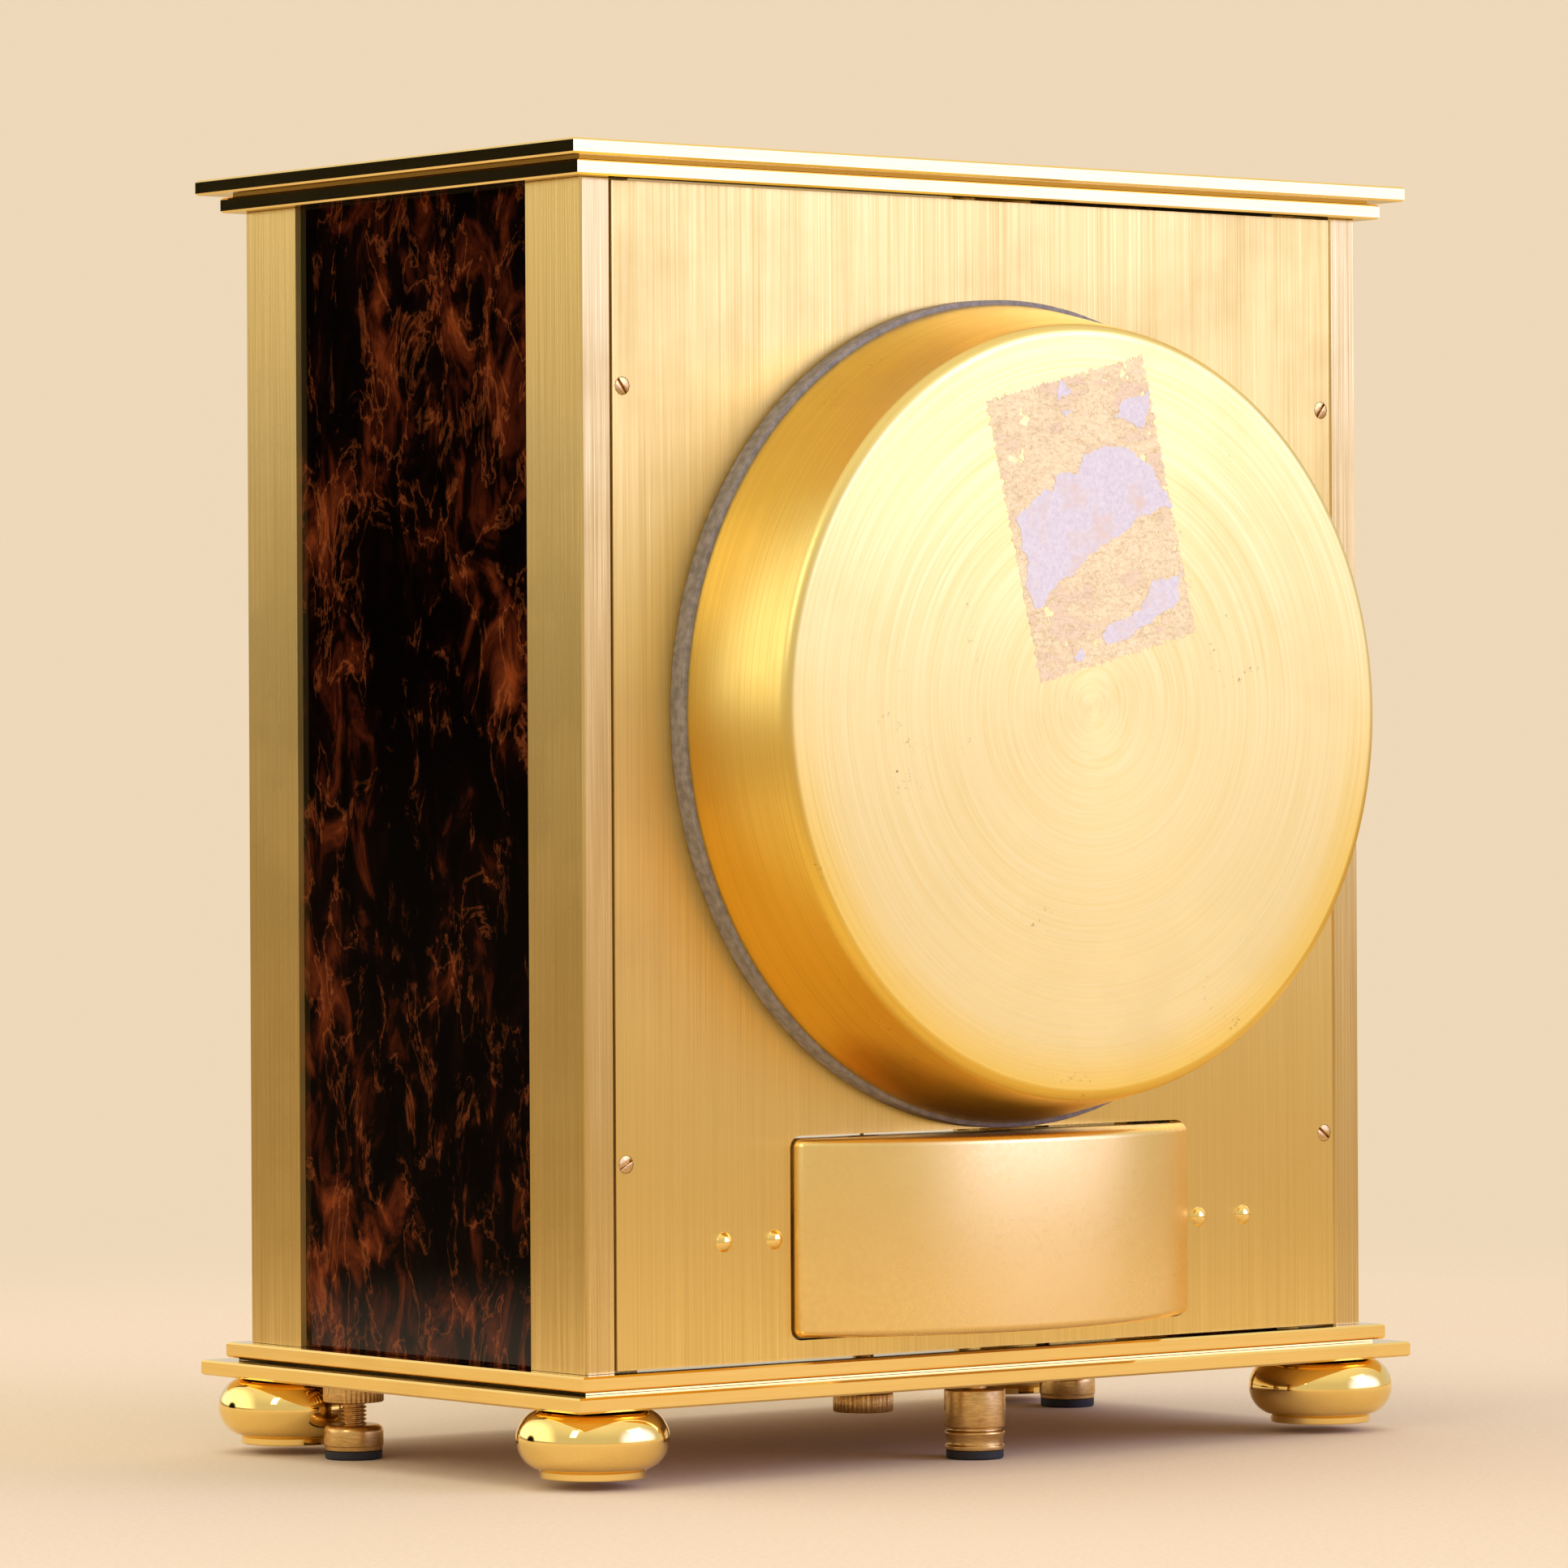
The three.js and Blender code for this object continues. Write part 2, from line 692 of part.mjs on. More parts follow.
function rivetDome() {
  const curve = (rivetRadius * rivetRadius + rivetRise * rivetRise) / (2 * rivetRise);
  const rimAngle = THREE.MathUtils.radToDeg(Math.acos(rivetRadius / curve));
  const dome = arcPoints(0, rivetRise - curve, curve, rimAngle, 90, 2);
  dome[dome.length - 1][0] = 0;
  return turnedAlongY([[0, -sink], [rivetRadius, -sink], ...dome], tinySides);
}

function addBackPanel(clock) {
  const front = backFace - backPanelThickness;
  const outline = boxOutline(-postInnerX + gap, gap, postInnerX - gap, bodyHeight - gap);
  const drumHole = circleOutline(panelHoleRadius, largeSides, drumX, drumHeight);
  const holes = [drumHole, balanceOpeningOutline(balanceCoverMargin)];
  const screwHoles = [];
  for (const sideX of [-1, 1]) {
    for (const z of screwHeights) {
      const x = sideX * screwX;
      const headBottom = backFace - screwHeadHeight - seam;
      screwHoles.push(bar(screwShankRadius + gap, front - reach, backFace + reach, holeSides, x, z));
      screwHoles.push(bar(screwHeadRadius + snug, headBottom, backFace + reach, smallSides, x, z));
    }
  }
  const rivetHeight = balanceCoverBottom + balanceCoverHeight / 2;
  const rivetOffsets = [
    ...rivetsPastLeftEnd.map((past) => -balanceCoverWidth / 2 - past),
    ...rivetsPastRightEnd.map((past) => balanceCoverWidth / 2 + past),
  ];
  const rivets = rivetOffsets.map((x) =>
    rivetDome().translate(balanceCoverX + x, backFace, rivetHeight));
  const panel = cut(wall(outline, front, backFace, holes), ...screwHoles);
  addPiece(clock, 'back_panel', join(panel, ...rivets), satinBrass);

  const slotReach = screwHeadRadius + reach;
  const slotHalf = screwSlotWidth / 2;
  const slotCut = block(-slotReach, slotReach, -screwSlotDepth, reach, -slotHalf, slotHalf);
  const shank = bar(screwShankRadius, -screwLength, -screwHeadHeight + sink, tinySides);
  const screw = cut(join(bar(screwHeadRadius, -screwHeadHeight, 0), shank), slotCut);
  let count = 0;
  for (const sideX of [1, -1]) {
    for (const z of screwHeights) {
      const name = 'panel_screw_' + (count + 1);
      const piece = addPiece(clock, name, screw, agedBrass, sideX * screwX, backFace, z);
      piece.rotation.y = screwSlotAngles[count];
      count += 1;
    }
  }
}

// Round cover of the bellows: a spun cup with a tapered wall, on a soft gasket

function addDrum(clock) {
  const drum = addGroup(clock, drumX, 0, drumHeight);
  const gasket = wall(circleOutline(gasketRadius, largeSides), backFace + seam, drumFront - seam,
    [circleOutline(gasketBore, largeSides)]);
  addPiece(drum, 'drum_gasket', gasket, greyRubber);
  const filletCentre = [drumFaceRadius - drumFillet, drumBack - drumFillet];
  const outerFillet = arcPoints(...filletCentre, drumFillet, 0, 90, 4);
  const innerFillet = arcPoints(...filletCentre, drumFillet - drumWall, 90, 0, 2);
  const cup = turnedAlongY([
    [drumRimRadius - drumWall, drumFront],
    [drumRimRadius, drumFront],
    ...outerFillet,
    [0, drumBack],
    [0, drumBack - drumWall],
    ...innerFillet,
    [drumRimRadius - drumWall, drumFront],
  ], largeSides);
  addPiece(drum, 'drum_cover', cup, satinBrass);
}

// Bulged cover of the balance: bowed along its width, open inside, held by two riveted tabs

function bowedOutline(inset, frontY) {
  const halfWidth = balanceCoverWidth / 2;
  const sagitta = balanceCoverMidRise - balanceCoverEndRise;
  const bowRadius = (halfWidth * halfWidth + sagitta * sagitta) / (2 * sagitta);
  const centreY = backFace + balanceCoverMidRise - bowRadius;
  const radius = bowRadius - inset;
  const endAngle = Math.acos((halfWidth - inset) / radius);
  const endX = halfWidth - inset;
  const points = [new THREE.Vector2(-endX, frontY), new THREE.Vector2(endX, frontY)];
  for (let i = 0; i <= balanceCoverSteps; i++) {
    const angle = endAngle + ((Math.PI - 2 * endAngle) * i) / balanceCoverSteps;
    points.push(polar(radius, angle).add({ x: 0, y: centreY }));
  }
  return points;
}

function addBalanceCover(clock) {
  const cover = addGroup(clock, balanceCoverX, 0, balanceCoverBottom);
  const tabBack = backFace - backPanelThickness - seam;
  const tabFront = tabBack - balanceCoverTabThickness;
  const halfWidth = balanceCoverWidth / 2;
  const shell = bevelledPlate(bowedOutline(0, tabFront - balanceCoverTrim), 0, balanceCoverHeight,
    balanceCoverEdge, 2);
  const hollow = plate(bowedOutline(balanceCoverWall, tabFront - 2 * balanceCoverTrim), balanceCoverWall,
    balanceCoverHeight - balanceCoverWall);
  const behind = block(-halfWidth - reach, halfWidth + reach, tabFront - 3 * balanceCoverTrim, tabFront,
    -reach, balanceCoverHeight + reach);
  const tabMiddle = balanceCoverHeight / 2;
  const tabs = [-1, 1].map((sideX) => {
    const tab = block(halfWidth - balanceCoverWall, halfWidth + balanceCoverTabLength, tabFront, tabBack,
      tabMiddle - balanceCoverTabHeight / 2, tabMiddle + balanceCoverTabHeight / 2);
    return sideX > 0 ? tab : tab.translate(-2 * halfWidth - balanceCoverTabLength + balanceCoverWall, 0, 0);
  });
  addPiece(cover, 'balance_cover', join(cut(shell, hollow, behind), ...tabs), satinBrass);
}

// Feet

function roundedCapProfile(radius, bottom, height, rounding) {
  const top = bottom + height;
  return [
    [0, bottom],
    [radius - footCapChamfer, bottom],
    [radius, bottom + footCapChamfer],
    ...arcPoints(radius - rounding, top - rounding, rounding, 0, 90, 3),
  ];
}

function footPad() {
  return turned([
    [0, 0],
    [padRadius - padChamfer, 0],
    [padRadius, padChamfer],
    [padRadius, padThickness],
    [0, padThickness],
  ], mediumSides);
}

function addBunFeet(clock) {
  const ringCentre = -seam - bunSectionRadius;
  const ring = arcPoints(bunRingRadius, ringCentre, bunSectionRadius, bunSectionStart, 90, bunSectionSteps);
  const flangeTop = ring[0][1] - bunFlangeStep;
  const profile = [
    [0, flangeTop - bunFlangeHeight],
    [bunFlangeRadius, flangeTop - bunFlangeHeight],
    [bunFlangeRadius, flangeTop],
    ...ring,
    [bunStudRadius, -seam],
    [bunStudRadius, plateThickness - gap],
    [0, plateThickness - gap],
  ];
  const foot = turned(profile, mediumSides);
  for (const [depthName, sideY] of [['front', -1], ['back', 1]]) {
    for (const [side, sideX] of [['left', -1], ['right', 1]]) {
      const name = 'bun_foot_' + depthName + '_' + side;
      addPiece(clock, name, foot, polishedBrass, sideX * bunX, sideY * bunY, baseBottom);
    }
  }
}

function addLevellingFeet(clock) {
  const capTop = capBottom + footCapHeight;
  const screwProfile = [
    ...roundedCapProfile(footCapRadius, capBottom, footCapHeight, footCapRounding),
    [footScrewRadius, capTop],
    [footScrewRadius, levellingScrewTop - footScrewChamfer],
    [footScrewRadius - footScrewChamfer, levellingScrewTop],
    [0, levellingScrewTop],
  ];
  const nutTop = baseBottom - seam;
  const nut = plate(ribbedOutline(levellingNutRadius, levellingNutRibs, knurlDepth),
    nutTop - levellingNutHeight, nutTop, [circleOutline(footScrewRadius + gap, smallSides)]);
  const pad = footPad();
  for (const [side, sideX] of [['left', -1], ['right', 1]]) {
    const foot = addGroup(clock, sideX * frontFootX, frontFootY, 0);
    addPiece(foot, 'levelling_nut_' + side, nut, agedBrass);
    addPiece(foot, 'levelling_screw_' + side, turned(screwProfile, mediumSides), agedBrass);
    addPiece(foot, 'levelling_pad_' + side, pad, blackRubber, 0, 0, floorLevel);
  }
}

function addRearFoot(clock) {
  const foot = addGroup(clock, 0, rearFootY, 0);
  const spacerTop = baseBottom - rearSpacerDrop;
  const spacerBottom = spacerTop - rearSpacerHeight;
  const capHeight = spacerBottom - rearGrooveHeight - capBottom;
  const profile = [
    ...roundedCapProfile(footCapRadius, capBottom, capHeight, rearCapRounding),
    [rearSpacerRadius - rearGrooveDepth, capBottom + capHeight],
    [rearSpacerRadius - rearGrooveDepth, spacerBottom],
    [rearSpacerRadius - rearSpacerChamfer, spacerBottom],
    [rearSpacerRadius, spacerBottom + rearSpacerChamfer],
    [rearSpacerRadius, spacerTop - rearSpacerChamfer],
    [rearSpacerRadius - rearSpacerChamfer, spacerTop],
    [rearStemRadius, spacerTop],
    [rearStemRadius, baseTop - gap],
    [0, baseTop - gap],
  ];
  addPiece(foot, 'rear_foot', turned(profile, mediumSides), agedBrass);
  addPiece(foot, 'rear_foot_pad', footPad(), blackRubber, 0, 0, floorLevel);
}

// Balance on its torsion wire, and the clamp under it

function addBalance(clock) {
  const balance = addGroup(clock, 0, balanceY, 0);
  const rimTop = balanceRimBottom + balanceRimHeight;
  const hubTop = balanceHubBottom + balanceHubHeight;
  const staffTop = hubTop + balanceStaffHeight;
  const rimInner = balanceRadius - balanceRimWidth;
  const rim = plate(circleOutline(balanceRadius, largeSides), balanceRimBottom, rimTop,
    [circleOutline(rimInner, largeSides)]);
  const hub = turned([
    [0, balanceHubBottom],
    [balanceHubRadius, balanceHubBottom],
    [balanceHubRadius, hubTop],
    [balanceStaffRadius, hubTop],
    [balanceStaffRadius, staffTop],
    [0, staffTop],
  ], mediumSides);
  const spokeBottom = balanceRimBottom + (balanceRimHeight - balanceSpokeThickness) / 2;
  const spokes = [];
  for (let i = 0; i < balanceSpokes; i++) {
    const spoke = block(0, rimInner + balanceRimWidth / 2, -balanceSpokeWidth / 2, balanceSpokeWidth / 2,
      spokeBottom, spokeBottom + balanceSpokeThickness);
    spokes.push(spoke.rotateZ(Math.PI / 2 + (2 * Math.PI * i) / balanceSpokes));
  }
  addPiece(balance, 'balance', join(rim, hub, ...spokes), paleGilt);
  const wireBottom = staffTop + seam;
  const wireTop = wireBottom + torsionWireLength;
  addPiece(balance, 'torsion_wire', rod(torsionWireRadius, wireBottom, wireTop, tinySides), steel);

  const tubeBottom = staffTop + suspensionTubeRise;
  const tubeTop = tubeBottom + suspensionTubeLength;
  const tube = join(
    rod(suspensionTubeRadius, tubeBottom, tubeTop + sink),
    block(-suspensionBlockWidth / 2, suspensionBlockWidth / 2, movementY + backPlateBack + seam - balanceY,
      suspensionBlockBack, tubeTop, tubeTop + suspensionBlockHeight),
  );
  const bore = rod(suspensionTubeBore, tubeBottom - reach, wireTop + gap, holeSides);
  addPiece(balance, 'suspension_bracket', cut(tube, bore), agedBrass);

  const lockPad = turned([
    [0, lockPadBottom],
    [lockPadRadius - lockPadBevel, lockPadBottom],
    [lockPadRadius, lockPadBottom + lockPadBevel],
    [lockPadRadius, lockPadBottom + lockPadHeight],
    [0, lockPadBottom + lockPadHeight],
  ], mediumSides);
  addPiece(balance, 'balance_lock_pad', lockPad, agedBrass);
  const knobTop = baseBottom - lockKnobDrop;
  const knob = join(
    plate(ribbedOutline(lockKnobRadius, lockKnobRibs, knurlDepth), knobTop - lockKnobHeight, knobTop),
    rod(lockScrewRadius, knobTop - sink, lockPadBottom - seam),
  );
  addPiece(balance, 'balance_lock_knob', knob, agedBrass);
}

// Front door: a brass frame round a pane, turning on two pins in its left edge

function doorAxisX() {
  return -(postInnerX - doorGap - doorThickness / 2);
}

function doorAxisY() {
  return -backFace + doorThickness / 2;
}

function addDoor(clock) {
  const door = addGroup(clock, doorAxisX(), doorAxisY(), 0);
  const width = 2 * (postInnerX - doorGap) - doorThickness / 2;
  const halfThickness = doorThickness / 2;
  const bottom = doorGap;
  const top = bodyHeight - doorGap;
  const outline = boxOutline(0, bottom, width, top);
  const windowOutline = (grow) => {
    const frameWidth = doorBarWidth - grow;
    return boxOutline(frameWidth - halfThickness, bottom + frameWidth, width - frameWidth, top - frameWidth);
  };
  const rounded = rod(halfThickness, bottom, top);
  const pins = [
    rod(doorPinRadius, top - sink, top + doorPinLength, tinySides),
    rod(doorPinRadius, bottom - doorPinLength, bottom + sink, tinySides),
  ];
  const frame = cut(
    join(wall(outline, -halfThickness, halfThickness), rounded, ...pins),
    wall(windowOutline(0), -doorThickness, doorThickness),
    wall(windowOutline(doorLipWidth), -halfThickness + doorLipThickness, doorThickness),
  );
  addPiece(door, 'door_frame', frame, satinBrass);
  const paneFront = -halfThickness + doorLipThickness + seam;
  const pane = wall(windowOutline(doorLipWidth - seam), paneFront, halfThickness - doorGlassInset);
  addPiece(door, 'door_glass', pane, clearGlass);
  const knob = turnedAlongY([
    [0, -doorKnobLength],
    ...arcPoints(doorKnobRadius - doorKnobRounding, -doorKnobLength + doorKnobRounding, doorKnobRounding,
      -90, 0, 2),
    ...doorKnobNeckProfile,
  ], mediumSides);
  const knobX = width - doorBarWidth / 2;
  addPiece(door, 'door_knob', knob, polishedBrass, knobX, -halfThickness - seam, bodyHeight / 2);
}

// Movement frame: two plates on four pillars, two side stands and the bridge for the return spring

function movementOutline() {
  const half = movementPlateWidth / 2;
  return roundedOutline(-half, movementPlateBottom, half, movementPlateTop, movementPlateCorner);
}

function arborHoles(places) {
  return places.map((place) => circleOutline(arborRadius + gap, holeSides, place.x, place.y));
}

function addMovementFrame(movement) {
  const centre = new THREE.Vector2();
  const trainPlaces = [centre, barrelPlace, escapePlace, palletPlace];
  const frontHoles = arborHoles([...trainPlaces, minuteWheelPlace]);
  const front = wall(movementOutline(), frontPlateFront, frontPlateBack, frontHoles);
  addPiece(movement, 'movement_front_plate', front, paleGilt);
  const pillars = [];
  for (const x of [-1, 1]) {
    for (const z of [movementPlateBottom + pillarInset, movementPlateTop - pillarInset]) {
      const pillarX = x * (movementPlateWidth / 2 - pillarInset);
      pillars.push(bar(pillarRadius, frontPlateBack + seam, backPlateFront + sink, smallSides, pillarX, z));
    }
  }
  const back = wall(movementOutline(), backPlateFront, backPlateBack, arborHoles(trainPlaces));
  addPiece(movement, 'movement_back_plate', join(back, ...pillars), paleGilt);
  const standHeight = movementHeight + standTop;
  for (const [side, sideX] of [['left', -1], ['right', 1]]) {
    const stand = join(
      block(-standThickness / 2, standThickness / 2, standFront, standBack, 0, standHeight),
      block(-standThickness / 2, standFootLength, standFront, standBack, 0, standThickness),
    );
    if (sideX < 0) stand.rotateZ(Math.PI).translate(0, standFront + standBack, 0);
    const name = 'movement_stand_' + side;
    addPiece(movement, name, stand, paleGilt, sideX * standX, 0, seam - movementHeight);
  }

  const rollerX = drumX - chainTurnRadius;
  const rollerY = windingPlane + chainTurnRadius;
  const earReach = rollerRadius;
  const ears = [-1, 1].map((sign) => {
    const inner = chainHeight + sign * (rollerLength / 2 + gap);
    const outer = inner + sign * earThickness;
    return block(rollerX - earReach, rollerX + earReach, rollerY - earReach, bridgeFront + sink,
      Math.min(inner, outer), Math.max(inner, outer));
  });
  const axleReach = rollerLength / 2 + gap + earThickness / 2;
  const axle = rod(rollerAxleRadius, chainHeight - axleReach, chainHeight + axleReach, tinySides);
  const halfSpan = standX + standThickness / 2;
  const bridge = join(
    wall(boxOutline(-halfSpan, chainHeight - bridgeHeight / 2, halfSpan, chainHeight + bridgeHeight / 2),
      bridgeFront, bridgeBack, [circleOutline(bridgeHoleRadius, smallSides, drumX, chainHeight)]),
    ...ears,
    axle.translate(rollerX, rollerY, 0),
  );
  addPiece(movement, 'spring_bridge', bridge, agedBrass);
  const roller = plate(circleOutline(rollerRadius, smallSides), -rollerLength / 2, rollerLength / 2,
    [circleOutline(rollerAxleRadius + gap, holeSides)]);
  addPiece(movement, 'chain_roller', roller, steel, rollerX, rollerY, chainHeight);
}

// Going train: barrel, centre wheel, escape wheel and pallets

function gearWall(teeth, module, phase, front, thickness) {
  return wall(gearOutline(teeth, module, phase), front, front + thickness);
}

// A larger gear with spokes, whose rim is measured inwards from the roots of its teeth
function spokedWheelWall(teeth, module, phase, front, thickness, hubRadius) {
  const rimRadius = (module * teeth) / 2 - toothDedendum * module - wheelRimWidth;
  return wall(gearOutline(teeth, module, phase), front, front + thickness,
    crossings(hubRadius, rimRadius, phase));
}

// The phase that puts a gap of a gear where its partner's tooth points at it
function meshPhase(angleToPartner, teeth) {
  return angleToPartner + Math.PI / teeth;
}

function addTrain(movement) {
  const pinionFront = barrelWheelFront - pinionOverhang;
  const pinionThickness = wheelThickness + 2 * pinionOverhang;
  const arborFront = minuteHandBack - handThickness - handNutLength + handNutCap + gap;
  const centre = join(
    bar(arborRadius, arborFront, backPlateBack - snug),
    gearWall(centrePinionTeeth, trainModule, barrelAngle, pinionFront, pinionThickness),
    spokedWheelWall(centreWheelTeeth, trainModule, escapeAngle, centreWheelFront, wheelThickness,
      trainHubRadius),
    gearWall(cannonTeeth, motionModule, minuteWheelAngle, cannonPinionBack - cannonPinionThickness,
      cannonPinionThickness),
  );
  addPiece(movement, 'centre_wheel', centre, paleGilt);

  const barrelBack = barrelWheelFront + wheelThickness + barrelDepth;
  const barrelPhase = meshPhase(barrelAngle + Math.PI, barrelTeeth);
  const barrel = join(
    gearWall(barrelTeeth, trainModule, barrelPhase, barrelWheelFront, wheelThickness),
    bar(barrelRadius, barrelWheelFront + sink, barrelBack, broadSides),
    bar(arborRadius, frontPlateFront + snug, windingDrumFront + windingDrumWidth + barrelArborTail),
  );
  addPiece(movement, 'mainspring_barrel', barrel, paleGilt, barrelPlace.x, 0, barrelPlace.y);

  const escape = join(
    wall(escapeOutline(), escapeWheelFront, escapeWheelFront + escapePlateThickness,
      crossings(escapeHubRadius, escapeWheelRadius - escapeToothDepth - wheelRimWidth, escapeAngle)),
    gearWall(escapePinionTeeth, trainModule, meshPhase(escapeAngle + Math.PI, escapePinionTeeth),
      centreWheelFront - pinionOverhang, pinionThickness),
    bar(arborRadius, frontPlateFront + snug, backPlateBack - snug),
  );
  addPiece(movement, 'escape_wheel', escape, paleGilt, escapePlace.x, 0, escapePlace.y);
  addPiece(movement, 'pallet_fork', palletFork(), steel, palletPlace.x, 0, palletPlace.y);
}

function escapeOutline() {
  const points = [];
  const pitch = (2 * Math.PI) / escapeTeeth;
  const tipHalfAngle = (escapeToothTip / 2) * pitch;
  const rootHalfAngle = (escapeToothRoot / 2) * pitch;
  const rootRadius = escapeWheelRadius - escapeToothDepth;
  const phase = palletAngle + palletReachAngle - pitch / 4;
  for (let i = 0; i < escapeTeeth; i++) {
    const centre = phase + i * pitch;
    points.push(polar(rootRadius, centre - rootHalfAngle));
    points.push(polar(escapeWheelRadius, centre - tipHalfAngle));
    points.push(polar(escapeWheelRadius, centre + tipHalfAngle));
    points.push(polar(rootRadius, centre + rootHalfAngle));
  }
  return points;
}

// Two arms that reach to the escape wheel's rim, and a forked tail on the other side. At mid-beat both
// claws stand just outside the rim, and as the fork rocks one of them drops between two teeth.
function palletFork() {
  const front = escapeWheelFront;
  const back = front + escapePlateThickness;
  const arbor = bar(arborRadius, frontPlateFront + snug, backPlateBack - snug);
  const pieces = [bar(palletHubRadius, front, back), arbor];
  for (const sign of [-1, 1]) {
    const clawAngle = palletAngle + sign * palletReachAngle;
    const wheelCentre = polar(-palletDistance, palletAngle);
    const armEnd = polar(escapeWheelRadius + palletArmClearance, clawAngle).add(wheelCentre);
    const half = palletArmWidth / 2;
    const arm = wall(boxOutline(0, -half, armEnd.length() + half / 2, half), front, back);
    pieces.push(arm.rotateY(-Math.atan2(armEnd.y, armEnd.x)));
    const clawInner = escapeWheelRadius + palletClawClearance;
    const clawOuter = escapeWheelRadius + palletArmClearance;
    const clawHalf = palletClawWidth / 2;
    const claw = wall(boxOutline(clawInner, -clawHalf, clawOuter, clawHalf), front, back);
    pieces.push(claw.rotateY(-clawAngle).translate(wheelCentre.x, 0, wheelCentre.y));
  }
  const tail = wall(boxOutline(0, -palletTailWidth / 2, palletTailLength, palletTailWidth / 2), front, back);
  const prongs = [-1, 1].map((sign) => {
    const middle = sign * palletProngOffset;
    return wall(boxOutline(palletTailLength - sink, middle - palletProngWidth / 2,
      palletTailLength + palletProngLength, middle + palletProngWidth / 2), front, back);
  });
  const crossbarHalf = palletProngOffset + palletProngWidth / 2;
  const crossbar = wall(boxOutline(palletTailLength - 2 * sink, -crossbarHalf, palletTailLength + sink,
    crossbarHalf), front, back);
  const fork = [tail, crossbar, ...prongs].map((piece) => piece.rotateY(-palletAngle));
  return join(...pieces, ...fork);
}

// Motion work, dial and hands

function addDial(movement) {
  const hourWheelFront = hourWheelBack - motionWheelThickness;
  const minuteWheel = join(
    spokedWheelWall(minuteWheelTeeth, motionModule, meshPhase(minuteWheelAngle + Math.PI, minuteWheelTeeth),
      motionWheelBack - motionWheelThickness, motionWheelThickness, motionHubRadius),
    gearWall(minutePinionTeeth, motionModule, minuteWheelAngle + Math.PI,
      hourWheelFront - minutePinionOverhang, minutePinionThickness),
    bar(arborRadius - gap, hourWheelFront - minuteArborOverhang, frontPlateBack - snug),
  );
  addPiece(movement, 'minute_wheel', minuteWheel, paleGilt, minuteWheelPlace.x, 0, minuteWheelPlace.y);

  const pipeFront = hourHandBack - handThickness - snug;
  const hourWheel = cut(
    join(
      spokedWheelWall(hourWheelTeeth, motionModule, meshPhase(minuteWheelAngle, hourWheelTeeth),
        hourWheelFront, motionWheelThickness, motionHubRadius),
      bar(hourPipeRadius, pipeFront, hourWheelBack - snug),
    ),
    bar(hourPipeBore, pipeFront - reach, hourWheelBack + reach),
  );
  addPiece(movement, 'hour_wheel', hourWheel, paleGilt);

  const dialFront = dialBack - dialThickness;
  const ringWidth = dialRadius - dialBore;
  const ringMiddle = dialBore + ringWidth / 2;
  const marks = [];
  for (let hour = 0; hour < 12; hour++) {
    const width = hour % 3 === 0 ? quarterMarkWidth : markWidth;
    const markStart = ringMiddle - markLength / 2;
    const markOutline = boxOutline(-width / 2, markStart, width / 2, markStart + markLength);
    const mark = wall(markOutline, dialFront - markRise, dialFront + sink);
    marks.push(mark.rotateY((Math.PI / 6) * hour));
  }
  const feet = dialFootAngles.map((angle) => {
    const place = polar(ringMiddle, THREE.MathUtils.degToRad(angle));
    return bar(dialFootRadius, dialBack - sink, frontPlateFront - seam, tinySides, place.x, place.y);
  });
  const ring = wall(circleOutline(dialRadius, largeSides), dialFront, dialBack,
    [circleOutline(dialBore, largeSides)]);
  addPiece(movement, 'dial_ring', join(ring, ...marks, ...feet), paleGilt);

  const hourTurn = ((shownHour + shownMinute / 60) / 12) * 2 * Math.PI;
  const minuteTurn = (shownMinute / 60) * 2 * Math.PI;
  const hourHand = handBody(hourHandLength, hourHandWidth, hourPipeRadius, hourHandBack);
  addPiece(movement, 'hour_hand', hourHand, steel).rotation.y = hourTurn;
  const minuteHand = handBody(minuteHandLength, minuteHandWidth, arborRadius, minuteHandBack);
  addPiece(movement, 'minute_hand', minuteHand, steel).rotation.y = minuteTurn;
  const nutBack = minuteHandBack - handThickness - seam;
  const nut = cut(
    bar(handNutRadius, nutBack - handNutLength, nutBack, handNutSides),
    bar(arborRadius + handFit, nutBack - handNutLength + handNutCap, nutBack + reach),
  );
  addPiece(movement, 'hand_nut', nut, polishedBrass);
}

// A tapered hand with a round eye, pointing up
function handBody(length, width, postRadius, back) {
  const eye = postRadius + handEyeWidth;
  const outline = [
    [-width / 2, -handTail],
    [width / 2, -handTail],
    [width / 4, 0],
    [width / 2, length * handWidestAt],
    [0, length],
    [-width / 2, length * handWidestAt],
    [-width / 4, 0],
  ].map(([x, y]) => new THREE.Vector2(x, y));
  const front = back - handThickness;
  return cut(
    join(wall(outline, front, back), bar(eye, front, back)),
    bar(postRadius + handFit, front - reach, back + reach),
  );
}

// Winding gear: bellows, its moving plate, the return spring, the chain and its drum

class SpringPath extends THREE.Curve {
  getPoint(t) {
    const angle = 2 * Math.PI * springTurns * t;
    const start = movementY + bridgeBack + seam + springWireRadius;
    const end = bellowsPlateFront - seam - springWireRadius;
    return new THREE.Vector3(springRadius * Math.cos(angle), start + (end - start) * t,
      springRadius * Math.sin(angle));
  }
}

